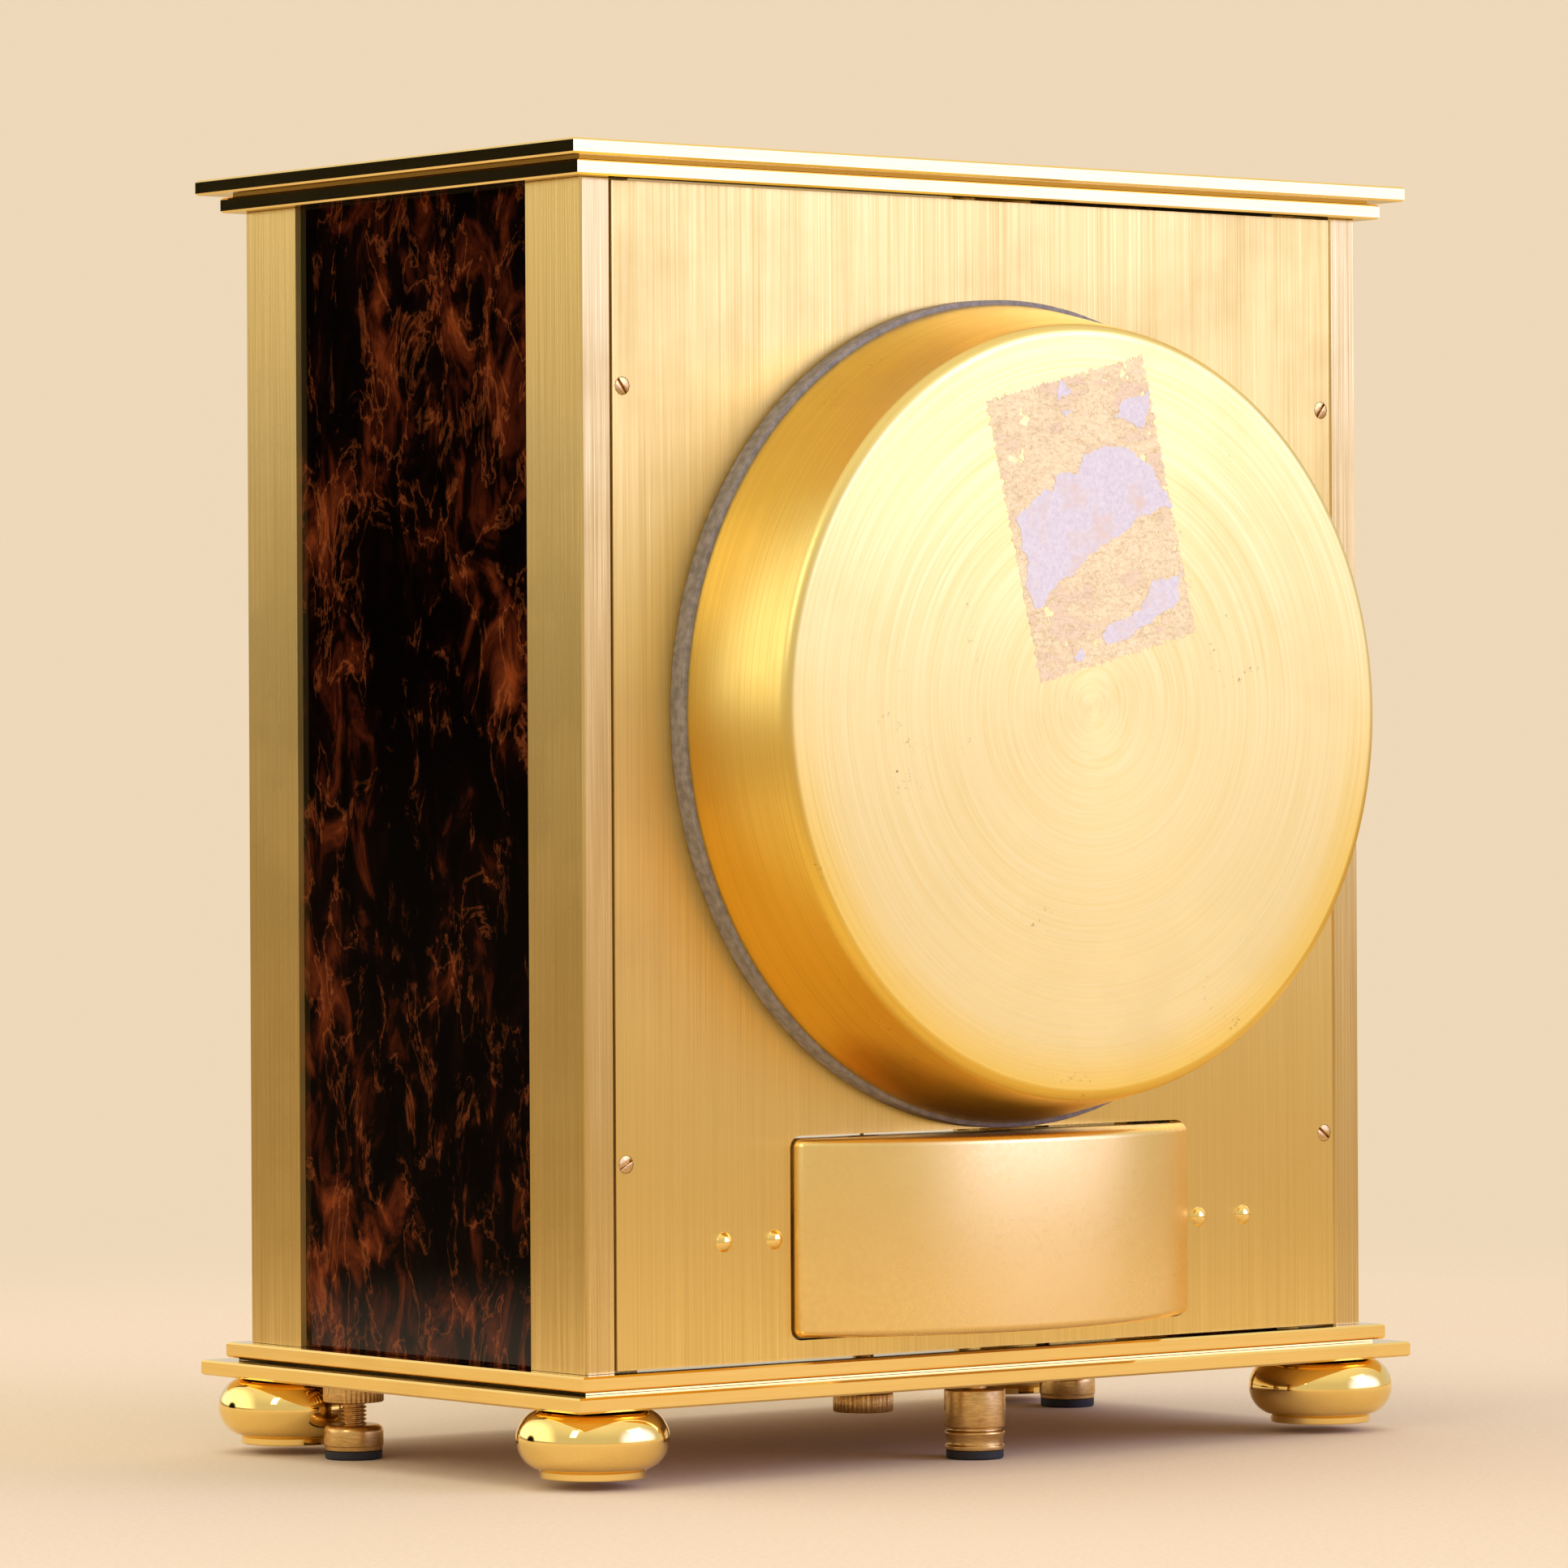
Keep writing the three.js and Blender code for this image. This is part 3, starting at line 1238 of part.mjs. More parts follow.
function addWinding(clock, movement) {
  const drum = addGroup(clock, drumX, 0, drumHeight);
  const profile = [[0, bellowsFront]];
  for (let i = 0; i <= 2 * bellowsFolds; i++) {
    const radius = bellowsRadius - (i % 2) * bellowsFoldDepth;
    profile.push([radius, bellowsFront + (bellowsLength * i) / (2 * bellowsFolds)]);
  }
  const boreRadius = bellowsRadius - bellowsFoldDepth - bellowsWall;
  profile.push(
    [bellowsFillerRadius, bellowsBack],
    [bellowsFillerRadius, bellowsBack - bellowsWall],
    [boreRadius, bellowsBack - bellowsWall],
    [boreRadius, bellowsFront + bellowsWall],
    [0, bellowsFront + bellowsWall],
  );
  addPiece(drum, 'bellows', turnedAlongY(profile, broadSides), satinBrass);
  const movingPlate = turnedAlongY([
    [0, bellowsPlateFront],
    [bellowsRadius - bellowsPlateBevel, bellowsPlateFront],
    [bellowsRadius, bellowsPlateFront + bellowsPlateBevel],
    [bellowsRadius, bellowsPlateFront + bellowsPlateThickness],
    [0, bellowsPlateFront + bellowsPlateThickness],
  ], broadSides);
  const bossFront = bellowsPlateFront - bellowsBossLength;
  const boss = bar(bellowsBossRadius, bossFront, bellowsPlateFront + sink);
  addPiece(drum, 'bellows_plate', join(movingPlate, boss), paleGilt);
  const spring = new THREE.ExtrudeGeometry(new THREE.Shape(circleOutline(springWireRadius, wireSides)), {
    steps: springTurns * springStepsPerTurn,
    extrudePath: new SpringPath(),
  });
  addPiece(drum, 'return_spring', spring, steel);
  printSpringGap();

  const chainPath = new THREE.CurvePath();
  const turnCentre = new THREE.Vector3(drumX - chainTurnRadius, windingPlane + chainTurnRadius, chainHeight);
  const start = new THREE.Vector3(drumX, bossFront - seam - movementY, chainHeight);
  const beforeTurn = new THREE.Vector3(drumX, turnCentre.y, chainHeight);
  const afterTurn = new THREE.Vector3(turnCentre.x, windingPlane, chainHeight);
  const end = new THREE.Vector3(barrelPlace.x, windingPlane, chainHeight);
  const corner = new THREE.Vector3(drumX, windingPlane, chainHeight);
  chainPath.add(new THREE.LineCurve3(start, beforeTurn));
  chainPath.add(new THREE.QuadraticBezierCurve3(beforeTurn, corner, afterTurn));
  chainPath.add(new THREE.LineCurve3(afterTurn, end));
  const chain = new THREE.ExtrudeGeometry(new THREE.Shape(circleOutline(chainRadius, wireSides)), {
    steps: chainSteps,
    extrudePath: chainPath,
  });
  addPiece(movement, 'winding_chain', chain, steel);

  const flangeRadius = windingDrumRadius + windingDrumFlange;
  const windingBack = windingDrumFront + windingDrumWidth;
  const windingDrum = cut(
    turnedAlongY([
      [0, windingDrumFront],
      [flangeRadius, windingDrumFront],
      [flangeRadius, windingDrumFront + windingFlangeThickness],
      [windingDrumRadius, windingDrumFront + windingFlangeThickness],
      [windingDrumRadius, windingBack - windingFlangeThickness],
      [flangeRadius, windingBack - windingFlangeThickness],
      [flangeRadius, windingBack],
      [0, windingBack],
    ], mediumSides),
    bar(arborRadius + gap, windingDrumFront - reach, windingBack + reach, holeSides),
  );
  addPiece(movement, 'winding_drum', windingDrum, agedBrass, barrelPlace.x, 0, barrelPlace.y);
}

// The least gap between neighbouring turns of the return spring, measured on points of its path
function printSpringGap() {
  const path = new SpringPath();
  const stepsPerTurn = 24;
  const points = path.getPoints(springTurns * stepsPerTurn);
  let least = Infinity;
  for (let i = 0; i + stepsPerTurn / 2 < points.length; i++) {
    for (let k = i + stepsPerTurn / 2; k < points.length; k++) {
      least = Math.min(least, points[i].distanceTo(points[k]) - 2 * springWireRadius);
    }
  }
  console.log('least gap between the return spring turns: ' + least.toFixed(2) + ' mm');
}

// The whole clock

const model = new THREE.Group();
const clock = addGroup(model, 0, frameShiftY, -floorLevel);
const movement = addGroup(clock, 0, movementY, movementHeight);
addCasePlates(clock);
addPostsAndSides(clock);
addBackPanel(clock);
addDrum(clock);
addBalanceCover(clock);
addBunFeet(clock);
addLevellingFeet(clock);
addRearFoot(clock);
addBalance(clock);
addDoor(clock);
addMovementFrame(movement);
addTrain(movement);
addDial(movement);
addWinding(clock, movement);

export default model;
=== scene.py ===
# An atmospheric table clock in a stepped brass case, seen from behind as in the photograph. The packed
# solids are the frame. Each section below dresses or replaces one piece, or one group of like pieces.
from math import cos, pi, radians, sin

import bmesh
import bpy
from mathutils import Matrix, Vector, noise


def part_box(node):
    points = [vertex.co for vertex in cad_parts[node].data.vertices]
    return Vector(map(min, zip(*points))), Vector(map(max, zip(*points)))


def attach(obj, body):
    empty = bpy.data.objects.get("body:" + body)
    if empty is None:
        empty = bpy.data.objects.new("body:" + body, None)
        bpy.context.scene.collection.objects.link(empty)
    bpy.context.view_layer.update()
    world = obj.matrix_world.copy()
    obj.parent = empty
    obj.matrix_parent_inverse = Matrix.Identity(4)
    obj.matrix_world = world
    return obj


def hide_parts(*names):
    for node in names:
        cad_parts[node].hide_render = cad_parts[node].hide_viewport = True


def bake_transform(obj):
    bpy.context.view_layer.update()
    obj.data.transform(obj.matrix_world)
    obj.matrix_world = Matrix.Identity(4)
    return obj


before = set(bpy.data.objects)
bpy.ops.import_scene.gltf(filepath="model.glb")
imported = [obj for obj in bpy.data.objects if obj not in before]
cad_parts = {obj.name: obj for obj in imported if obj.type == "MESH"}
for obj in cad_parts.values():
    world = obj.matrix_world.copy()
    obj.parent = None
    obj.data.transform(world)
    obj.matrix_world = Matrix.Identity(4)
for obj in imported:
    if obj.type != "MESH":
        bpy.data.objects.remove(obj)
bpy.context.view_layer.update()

# Camera. A long lens level with the middle of the clock, behind it and to its right, where the straight
# edges of the case in the photograph put it.
mm = 0.001
camera_place = Vector((0.8363, 1.0430, 0.1194))
yaw, pitch, roll = radians(38.301), radians(-0.072), radians(0.293)
forward = Vector((-sin(yaw) * cos(pitch), -cos(yaw) * cos(pitch), sin(pitch)))
level_right = forward.cross(Vector((0, 0, 1))).normalized()
level_down = forward.cross(level_right)
frame_right = level_right * cos(roll) + level_down * sin(roll)
frame_up = level_right * sin(roll) - level_down * cos(roll)
lens = bpy.data.cameras.new("camera")
lens.sensor_width = 36
lens.lens = 172.12
camera = bpy.data.objects.new("camera", lens)
camera.matrix_world = (Matrix.Translation(camera_place)
                       @ Matrix((frame_right, frame_up, -forward)).transposed().to_4x4())
bpy.context.scene.collection.objects.link(camera)
bpy.context.scene.camera = camera
bpy.context.scene.view_settings.view_transform = "Standard"


# Studio. A peach paper floor in a peach room, with a wide white panel to the right of the camera, a lit
# ceiling, and an unlit side to the left that the polished edges of the top plates mirror as black.
def add_node(tree, kind, sockets=None, **settings):
    node = tree.nodes.new("ShaderNode" + kind)
    for setting, value in settings.items():
        setattr(node, setting, value)
    for socket, value in (sockets or {}).items():
        if isinstance(value, bpy.types.NodeSocket):
            tree.links.new(value, node.inputs[socket])
        else:
            node.inputs[socket].default_value = value
    return node


def ramp(tree, value, low, high, bottom=0.0, top=1.0, smooth=False):
    node = add_node(tree, "MapRange", {"Value": value, "From Min": low, "From Max": high,
                                       "To Min": bottom, "To Max": top})
    node.interpolation_type = "SMOOTHSTEP" if smooth else "LINEAR"
    return node.outputs["Result"]


def sum_of(tree, value, factor, rest):
    return add_node(tree, "Math", {0: value, 1: factor, 2: rest}, operation="MULTIPLY_ADD").outputs["Value"]


def times(tree, value, factor):
    return add_node(tree, "Math", {0: value, 1: factor}, operation="MULTIPLY").outputs["Value"]


def vector_math(tree, operation, *vectors):
    node = add_node(tree, "VectorMath", dict(enumerate(vectors)), operation=operation)
    return node.outputs["Value" if operation in ("DOT_PRODUCT", "LENGTH") else "Vector"]


paper_colour = (0.855, 0.690, 0.487, 1)
room = bpy.data.worlds.new("studio")
bpy.context.scene.world = room
room.use_nodes = True
sky = room.node_tree
sky.nodes.clear()
outwards = add_node(sky, "TexCoord").outputs["Generated"]


def facing(toward, start, full):
    """How squarely a ray leaves toward a side, from nothing at start to one at full."""
    return ramp(sky, vector_math(sky, "DOT_PRODUCT", outwards, toward), start, full, smooth=True)


left, right, up = (0.62, -0.785, 0.0), (-0.62, 0.785, 0.0), (0, 0, 1)
unlit_side, panel_side = (0.59, -0.80, 0.05), (-0.62, 0.785, 0.14)
unlit = facing(unlit_side, 0.976, 0.991)
height = add_node(sky, "SeparateXYZ", {0: outwards}).outputs["Z"]
off_horizon = add_node(sky, "Math", {0: height}, operation="ABSOLUTE").outputs[0]
left_tone = sum_of(sky, ramp(sky, off_horizon, 0.015, 0.06, -0.30, 0.0, True), 1.0,
                   ramp(sky, height, 0.02, 0.075, 0.0, 1.15, True))
left_light = times(sky, facing(left, 0.62, 0.88), left_tone)
ceiling_share, right_share, even_light, unlit_share = 0.30, 0.40, 0.72, 0.006
room_light = sum_of(sky, facing(up, 0.25, 0.95), ceiling_share, sum_of(sky, left_light, 1.0, even_light))
room_light = sum_of(sky, facing(right, 0.78, 0.96), right_share, room_light)
room_light = times(sky, room_light, ramp(sky, unlit, 0.0, 1.0, 1.0, unlit_share))
panel_light = times(sky, facing(panel_side, 0.80, 0.985), ramp(sky, height, -0.02, 0.085, 0.0, 1.1, True))
walls = add_node(sky, "Background", {"Color": (1.0, 0.93, 0.80, 1), "Strength": room_light})
panel_glow = add_node(sky, "Background", {"Color": (0.62, 0.88, 3.1, 1), "Strength": panel_light})
above = add_node(sky, "AddShader", {0: walls.outputs[0], 1: panel_glow.outputs[0]})
below = add_node(sky, "Background", {"Color": (0.62, 0.44, 0.23, 1),
                                     "Strength": sum_of(sky, unlit, -0.90, 1.0)})
lit = add_node(sky, "MixShader", {0: facing(up, -0.03, 0.02), 1: below.outputs[0], 2: above.outputs[0]})
seen = add_node(sky, "Background", {"Color": paper_colour, "Strength": 1.0})
seen_by_camera = add_node(sky, "LightPath").outputs["Is Camera Ray"]
shown = add_node(sky, "MixShader", {0: seen_by_camera, 1: lit.outputs[0], 2: seen.outputs[0]})
sky.links.new(shown.outputs[0], add_node(sky, "OutputWorld").inputs["Surface"])


def add_lamp(name, place, target, width, height, power):
    light = bpy.data.lights.new(name, "AREA")
    light.shape = "RECTANGLE"
    light.size, light.size_y, light.energy = width, height, power
    lamp = bpy.data.objects.new(name, light)
    towards = Vector(target) - Vector(place)
    lamp.matrix_world = Matrix.Translation(place) @ towards.to_track_quat("-Z", "Y").to_matrix().to_4x4()
    bpy.context.scene.collection.objects.link(lamp)
    return lamp


clock_middle = (0, 0, 0.11)
add_lamp("right_panel", (-0.95, 1.25, 0.85), clock_middle, 0.8, 0.8, 4.0)
add_lamp("ceiling_panel", (0.1, -0.1, 1.7), clock_middle, 1.4, 1.4, 9.0).visible_glossy = False
add_lamp("left_strip", (1.35, 0.55, 0.95), clock_middle, 0.25, 0.7, 3.0)


def speckle(tree, where, scale, detail=2.0, roughness=0.5, distortion=0.0):
    return add_node(tree, "TexNoise", {"Vector": where, "Scale": scale, "Detail": detail,
                                       "Roughness": roughness, "Distortion": distortion}).outputs[0]


def mixed(tree, share, first, second, kind="MIX"):
    """A colour between two, each of them a link or three values."""
    first, second = ((*colour, 1) if isinstance(colour, tuple) else colour for colour in (first, second))
    mix = add_node(tree, "Mix", {0: share, 6: first, 7: second}, data_type="RGBA", blend_type=kind)
    return mix.outputs[2]


def start_material(name, **constants):
    """A new material, its tree, its shader with its constants set, and the place of a point on the object."""
    material = bpy.data.materials.new(name)
    material.use_nodes = True
    tree = material.node_tree
    surface = tree.nodes["Principled BSDF"]
    for socket, value in constants.items():
        surface.inputs[socket.replace("_", " ")].default_value = value
    return material, tree, surface, add_node(tree, "TexCoord").outputs["Object"]


floor_shape = bmesh.new()
bmesh.ops.create_circle(floor_shape, cap_ends=True, segments=96, radius=1.2)
floor_mesh = bpy.data.meshes.new("floor")
floor_shape.to_mesh(floor_mesh)
floor_shape.free()
floor = bpy.data.objects.new("floor", floor_mesh)
bpy.context.scene.collection.objects.link(floor)
paper, tree, surface, spot = start_material("peach_paper", Roughness=0.85, Specular_IOR_Level=0.15)
fibre = speckle(tree, spot, 900.0, 3.0)
tone = mixed(tree, ramp(tree, fibre, 0.3, 0.7), (0.68, 0.545, 0.39), (0.735, 0.595, 0.43))
tree.links.new(tone, surface.inputs["Base Color"])
faded = ramp(tree, vector_math(tree, "LENGTH", spot), 0.28, 0.62, smooth=True)
edge = add_node(tree, "MixShader", {0: faded, 1: surface.outputs[0],
                                    2: add_node(tree, "BsdfTransparent").outputs[0]})
tree.links.new(edge.outputs[0], tree.nodes["Material Output"].inputs["Surface"])
floor.data.materials.append(paper)


# Stepped plates of the base and the top. Sawn brass, their edges and chamfers ground along their length
# and polished bright, then lacquered. A narrow groove parts the two plates of a pair.
def coordinates(tree, centre, axis, grain):
    """Where a point lies for the grain of its finish: straight, or round an axis through centre."""
    spot = add_node(tree, "TexCoord").outputs["Object"]
    if axis is None:
        return add_node(tree, "Mapping", {"Vector": spot, "Location": centre, "Scale": grain}).outputs[0]
    centred = add_node(tree, "Mapping", {"Vector": spot, "Location": tuple(-v for v in centre)}).outputs[0]
    parts = add_node(tree, "SeparateXYZ", {0: centred}).outputs
    flat = add_node(tree, "CombineXYZ", {0: parts["X"], 1: parts["Z" if axis == "Y" else "Y"]}).outputs[0]
    outward = times(tree, vector_math(tree, "LENGTH", flat), grain[0])
    turn = vector_math(tree, "NORMALIZE", flat)
    swept = vector_math(tree, "MULTIPLY", turn, (grain[2], grain[2], 0))
    ring = add_node(tree, "CombineXYZ", {2: sum_of(tree, parts[axis], -grain[1], outward)}).outputs[0]
    return vector_math(tree, "ADD", swept, ring)


def emboss(tree, surface, relief, strength, depth, **over):
    """Gives a surface a relief, its depth in millimetres."""
    bump = add_node(tree, "Bump", {"Height": relief, "Strength": strength, "Distance": depth * mm, **over})
    tree.links.new(bump.outputs[0], surface.inputs["Normal"])


def metal(name, light, dark, roughness, grain, centre=(0, 0, 0), axis=None, contrast=1.0, groove=0.1,
          stain=0.25, stain_colour=(0.62, 0.36, 0.10), stain_size=0.03, brushed=0.0):
    """Worked metal: fine and broad streaks along its grain, faint stains, and grooves in its bump. How far
    it is brushed sets how much its gloss spreads across the grain."""
    material, tree, surface, spot = start_material(name, Metallic=1.0)
    if brushed:
        surface.inputs["Anisotropic"].default_value = brushed
        grain_line = (0, 0, 1)
        if axis:
            spin = (0, 1, 0) if axis == "Y" else (0, 0, 1)
            arm = vector_math(tree, "SUBTRACT", spot, centre)
            grain_line = vector_math(tree, "CROSS_PRODUCT", arm, spin)
        normal = add_node(tree, "NewGeometry").outputs["Normal"]
        tree.links.new(vector_math(tree, "CROSS_PRODUCT", normal, grain_line), surface.inputs["Tangent"])
    along = coordinates(tree, centre, axis, grain)
    broad_share = 0.18
    fine = times(tree, speckle(tree, along, 1.0, 3.0, 0.65), 1 - broad_share)
    streak = sum_of(tree, speckle(tree, along, 0.22), broad_share, fine)
    cloud = speckle(tree, spot, 1 / stain_size, 5.0, 0.6)
    half = 0.22 / contrast
    tone = mixed(tree, ramp(tree, streak, 0.5 - half, 0.5 + half), dark, light)
    stained = mixed(tree, ramp(tree, cloud, 0.5, 0.85, 0.0, stain, smooth=True), tone, stain_colour)
    tree.links.new(stained, surface.inputs["Base Color"])
    rubbed = sum_of(tree, ramp(tree, streak, 0.3, 0.7), -0.35 * roughness, 1.15 * roughness)
    rough = sum_of(tree, ramp(tree, cloud, 0.45, 0.75), 0.25 * roughness, rubbed)
    tree.links.new(rough, surface.inputs["Roughness"])
    emboss(tree, surface, streak, groove, 0.05)
    return material


def dress(material, *nodes):
    for node in nodes:
        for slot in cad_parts[node].material_slots:
            slot.material = material


edge_brass = metal("ground_plate_edge", (0.98, 0.73, 0.27), (0.88, 0.60, 0.17), 0.075, (60, 60, 5200),
                   groove=0.03, contrast=0.7, stain=0.18)
tree = edge_brass.node_tree
surface = tree.nodes["Principled BSDF"]
spot = add_node(tree, "TexCoord").outputs["Object"]
case_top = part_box("top_plate")[1].z
on_top = ramp(tree, add_node(tree, "SeparateXYZ", {0: spot}).outputs["Z"], case_top - 0.15 * mm,
              case_top - 0.05 * mm)
lengthwise = add_node(tree, "Mapping", {"Vector": spot, "Scale": (16, 3400, 1)}).outputs[0]
brushed_lines = times(tree, speckle(tree, lengthwise, 1.0, 3.0), on_top)
rubbed = sum_of(tree, on_top, 0.26, surface.inputs["Roughness"].links[0].from_socket)
tree.links.new(rubbed, surface.inputs["Roughness"])
emboss(tree, surface, brushed_lines, 0.25, 0.05, Normal=surface.inputs["Normal"].links[0].from_socket)
dress(edge_brass, "top_plate", "cornice_plate", "base_step_plate", "base_plate")


# Bun feet. Turned from brass bar as a bulging ring on a thin flange, buffed to a mirror, and riveted
# through the base plate.
def arc(centre_radius, centre_height, radius, start, end, steps):
    """Points of a round part of a turned profile, as pairs of radius and height."""
    angles = [radians(start + (end - start) * step / steps) for step in range(steps + 1)]
    return [(centre_radius + radius * cos(angle), centre_height + radius * sin(angle)) for angle in angles]


def round_edges(shape, width, segments=3, sharpest=30):
    """Breaks the sharp edges of a shape, as a file or a buffing wheel does."""
    edges = [edge for edge in shape.edges if edge.is_manifold and edge.calc_face_angle() > radians(sharpest)]
    bmesh.ops.bevel(shape, geom=edges, offset=width * mm, offset_type="OFFSET", affect="EDGES",
                    segments=segments, profile=0.5, material=-1, clamp_overlap=True)


def face_outwards(shape):
    """Makes the faces of a closed shape point outwards, also where it is as even as a screw thread."""
    bmesh.ops.recalc_face_normals(shape, faces=shape.faces)
    if shape.calc_volume(signed=True) < 0:
        bmesh.ops.reverse_faces(shape, faces=shape.faces)


def turned(profile, steps=96, rounding=0.0):
    """A piece from the lathe: a profile in millimetres of radius and height, spun once round Z."""
    shape = bmesh.new()
    line = [shape.verts.new((radius * mm, 0, height * mm)) for radius, height in profile]
    edges = [shape.edges.new(ends) for ends in zip(line, line[1:])]
    bmesh.ops.spin(shape, geom=line + edges, cent=(0, 0, 0), axis=(0, 0, 1), angle=2 * pi, steps=steps,
                   use_merge=True)
    bmesh.ops.remove_doubles(shape, verts=shape.verts, dist=1e-7)
    face_outwards(shape)
    if rounding:
        round_edges(shape, rounding)
    return shape


def set_down(shape, x, y, z, turn=Matrix()):
    bmesh.ops.transform(shape, matrix=Matrix.Translation((x, y, z)) @ turn, verts=shape.verts)
    return shape


def assemble(*shapes):
    """Several shapes as one, so that they can be one piece."""
    whole = bmesh.new()
    for shape in shapes:
        part = bpy.data.meshes.new("part")
        shape.to_mesh(part)
        shape.free()
        whole.from_mesh(part)
        bpy.data.meshes.remove(part)
    return whole


def make_piece(name, shape, material, slot, body, *nodes, sharp=35, spans=None):
    """A finished piece on its body. One that spans two bodies is put on neither, and its place is baked into
    its mesh."""
    mesh = bpy.data.meshes.new(name)
    shape.to_mesh(mesh)
    shape.free()
    mesh.shade_smooth()
    mesh.set_sharp_from_angle(angle=radians(sharp))
    mesh.materials.append(material)
    piece = bpy.data.objects.new(name, mesh)
    bpy.context.scene.collection.objects.link(piece)
    if spans:
        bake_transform(piece)
    else:
        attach(piece, body)
    if nodes:
        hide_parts(*nodes)


def middle_of(node):
    low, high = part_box(node)
    return (low + high) / 2


mirror_brass = metal("buffed_brass", (0.98, 0.73, 0.26), (0.93, 0.66, 0.20), 0.055, (300, 300, 300),
                     groove=0.0, contrast=0.6, stain=0.1, stain_size=0.008)
bun_profile = [(0, 1.7), (8.85, 1.7), (9.0, 1.85), (9.0, 2.85), (8.8, 3.05), (9.2, 3.15),
               *arc(7.7, 8.15, 5.3, -66, 90, 36), (2.4, 13.45), (2.4, 15.85), (0, 15.85)]
for depth in ("front", "back"):
    for side in ("left", "right"):
        node = "bun_foot_" + depth + "_" + side
        at = middle_of(node)
        bun = set_down(turned(bun_profile, 128), at.x, at.y, 0)
        make_piece("turned_" + node, bun, mirror_brass, "polished_brass", "case", node)

# Levelling feet. A threaded brass screw with a rounded cap under it, held in the base by a knurled nut.
# A black rubber pad is glued in the cap. The brass has darkened in the air and with handling.
def aged_brass(name, centre):
    return metal(name, (0.80, 0.52, 0.20), (0.47, 0.28, 0.09), 0.30, (1500, 2600, 3), centre=centre,
                 axis="Z", groove=0.12, stain=0.75, stain_colour=(0.30, 0.13, 0.04), stain_size=0.004)


def pull_up(shape, height):
    """Makes a flat shape a block, its height in millimetres."""
    raised = bmesh.ops.extrude_face_region(shape, geom=shape.faces[:])["geom"]
    bmesh.ops.translate(shape, vec=(0, 0, height * mm),
                        verts=[item for item in raised if isinstance(item, bmesh.types.BMVert)])
    face_outwards(shape)


def knurled(radius, depth, ribs, bottom, top, rounding=0.25):
    """A disc whose rim is pressed into upright ribs by a knurling wheel."""
    shape = bmesh.new()
    bmesh.ops.create_circle(shape, cap_ends=True, segments=4 * ribs, radius=radius * mm)
    for number, vertex in enumerate(list(shape.verts)):
        if number % 4 in (0, 1):
            vertex.co *= (radius - depth) / radius
    pull_up(shape, top - bottom)
    rims = [edge for edge in shape.edges if {len(face.verts) for face in edge.link_faces} == {4, 4 * ribs}]
    bmesh.ops.bevel(shape, geom=rims, offset=rounding * mm, offset_type="OFFSET", affect="EDGES", segments=2,
                    profile=0.5, material=-1, clamp_overlap=True)
    return set_down(shape, 0, 0, bottom * mm)


def threaded(root, crest, pitch, bottom, top, steps=28):
    """A screw thread: one V, swept round and up the axis, and closed at both ends."""
    shape = bmesh.new()
    turns = int((top - bottom) / pitch) - 1
    tooth = ((root, 0), (root, 0.12), (crest, 0.45), (crest, 0.60), (root, 0.95), (root, 1.0))
    line = [shape.verts.new((radius * mm, 0, (bottom + height * pitch) * mm)) for radius, height in tooth]
    edges = [shape.edges.new(ends) for ends in zip(line, line[1:])]
    bmesh.ops.spin(shape, geom=line + edges, cent=(0, 0, 0), axis=(0, 0, 1), angle=2 * pi * turns,
                   steps=steps * turns, dvec=(0, 0, pitch / steps * mm))
    bmesh.ops.remove_doubles(shape, verts=shape.verts, dist=2e-6)
    bmesh.ops.holes_fill(shape, edges=[edge for edge in shape.edges if edge.is_boundary], sides=0)
    face_outwards(shape)
    return shape


def rubber(name, colour, grain):
    material, tree, surface, spot = start_material(name)
    speck = speckle(tree, spot, grain, 4.0)
    dark = tuple(0.6 * share for share in colour)
    tree.links.new(mixed(tree, ramp(tree, speck, 0.35, 0.65), dark, colour), surface.inputs["Base Color"])
    tree.links.new(ramp(tree, speck, 0.3, 0.7, 0.6, 0.9), surface.inputs["Roughness"])
    emboss(tree, surface, speck, 0.4, 0.1)
    return material


black_rubber = rubber("black_rubber_pad", (0.020, 0.019, 0.020), 1600.0)
pad_profile = [(0, 0), (4.75, 0), (5.03, 0.28), (5.03, 1.5), (0, 1.5)]
cap_profile = [(0, 1.55), (4.95, 1.55), (5.1, 1.7), (5.1, 2.3), (5.25, 2.45), *arc(4.0, 4.8, 1.25, 0, 90, 10),
               (2.3, 6.05), (0, 6.05)]
for side in ("left", "right"):
    at = middle_of("levelling_screw_" + side)
    brass = aged_brass("aged_brass_front_" + side, (at.x, at.y, 0))
    cap = turned(cap_profile, 72, rounding=0.08)
    core = turned([(0, 5.5), (1.7, 5.5), (1.7, 17.2), (0, 17.2)], 24)
    foot = set_down(assemble(cap, core, threaded(1.85, 2.33, 0.7, 5.6, 17.6)), at.x, at.y, 0)
    make_piece("threaded_foot_" + side, foot, brass, "aged_brass", "levelling_foot_" + side,
               "levelling_screw_" + side)
    nut = set_down(knurled(5.33, 0.16, 38, 10.0, 13.4), at.x, at.y, 0)
    make_piece("knurled_nut_" + side, nut, brass, "aged_brass", "levelling_nut_" + side,
               "levelling_nut_" + side)
    pad = set_down(turned(pad_profile, 48), at.x, at.y, 0)
    make_piece("rubber_pad_" + side, pad, black_rubber, "black_rubber", "levelling_foot_" + side,
               "levelling_pad_" + side)

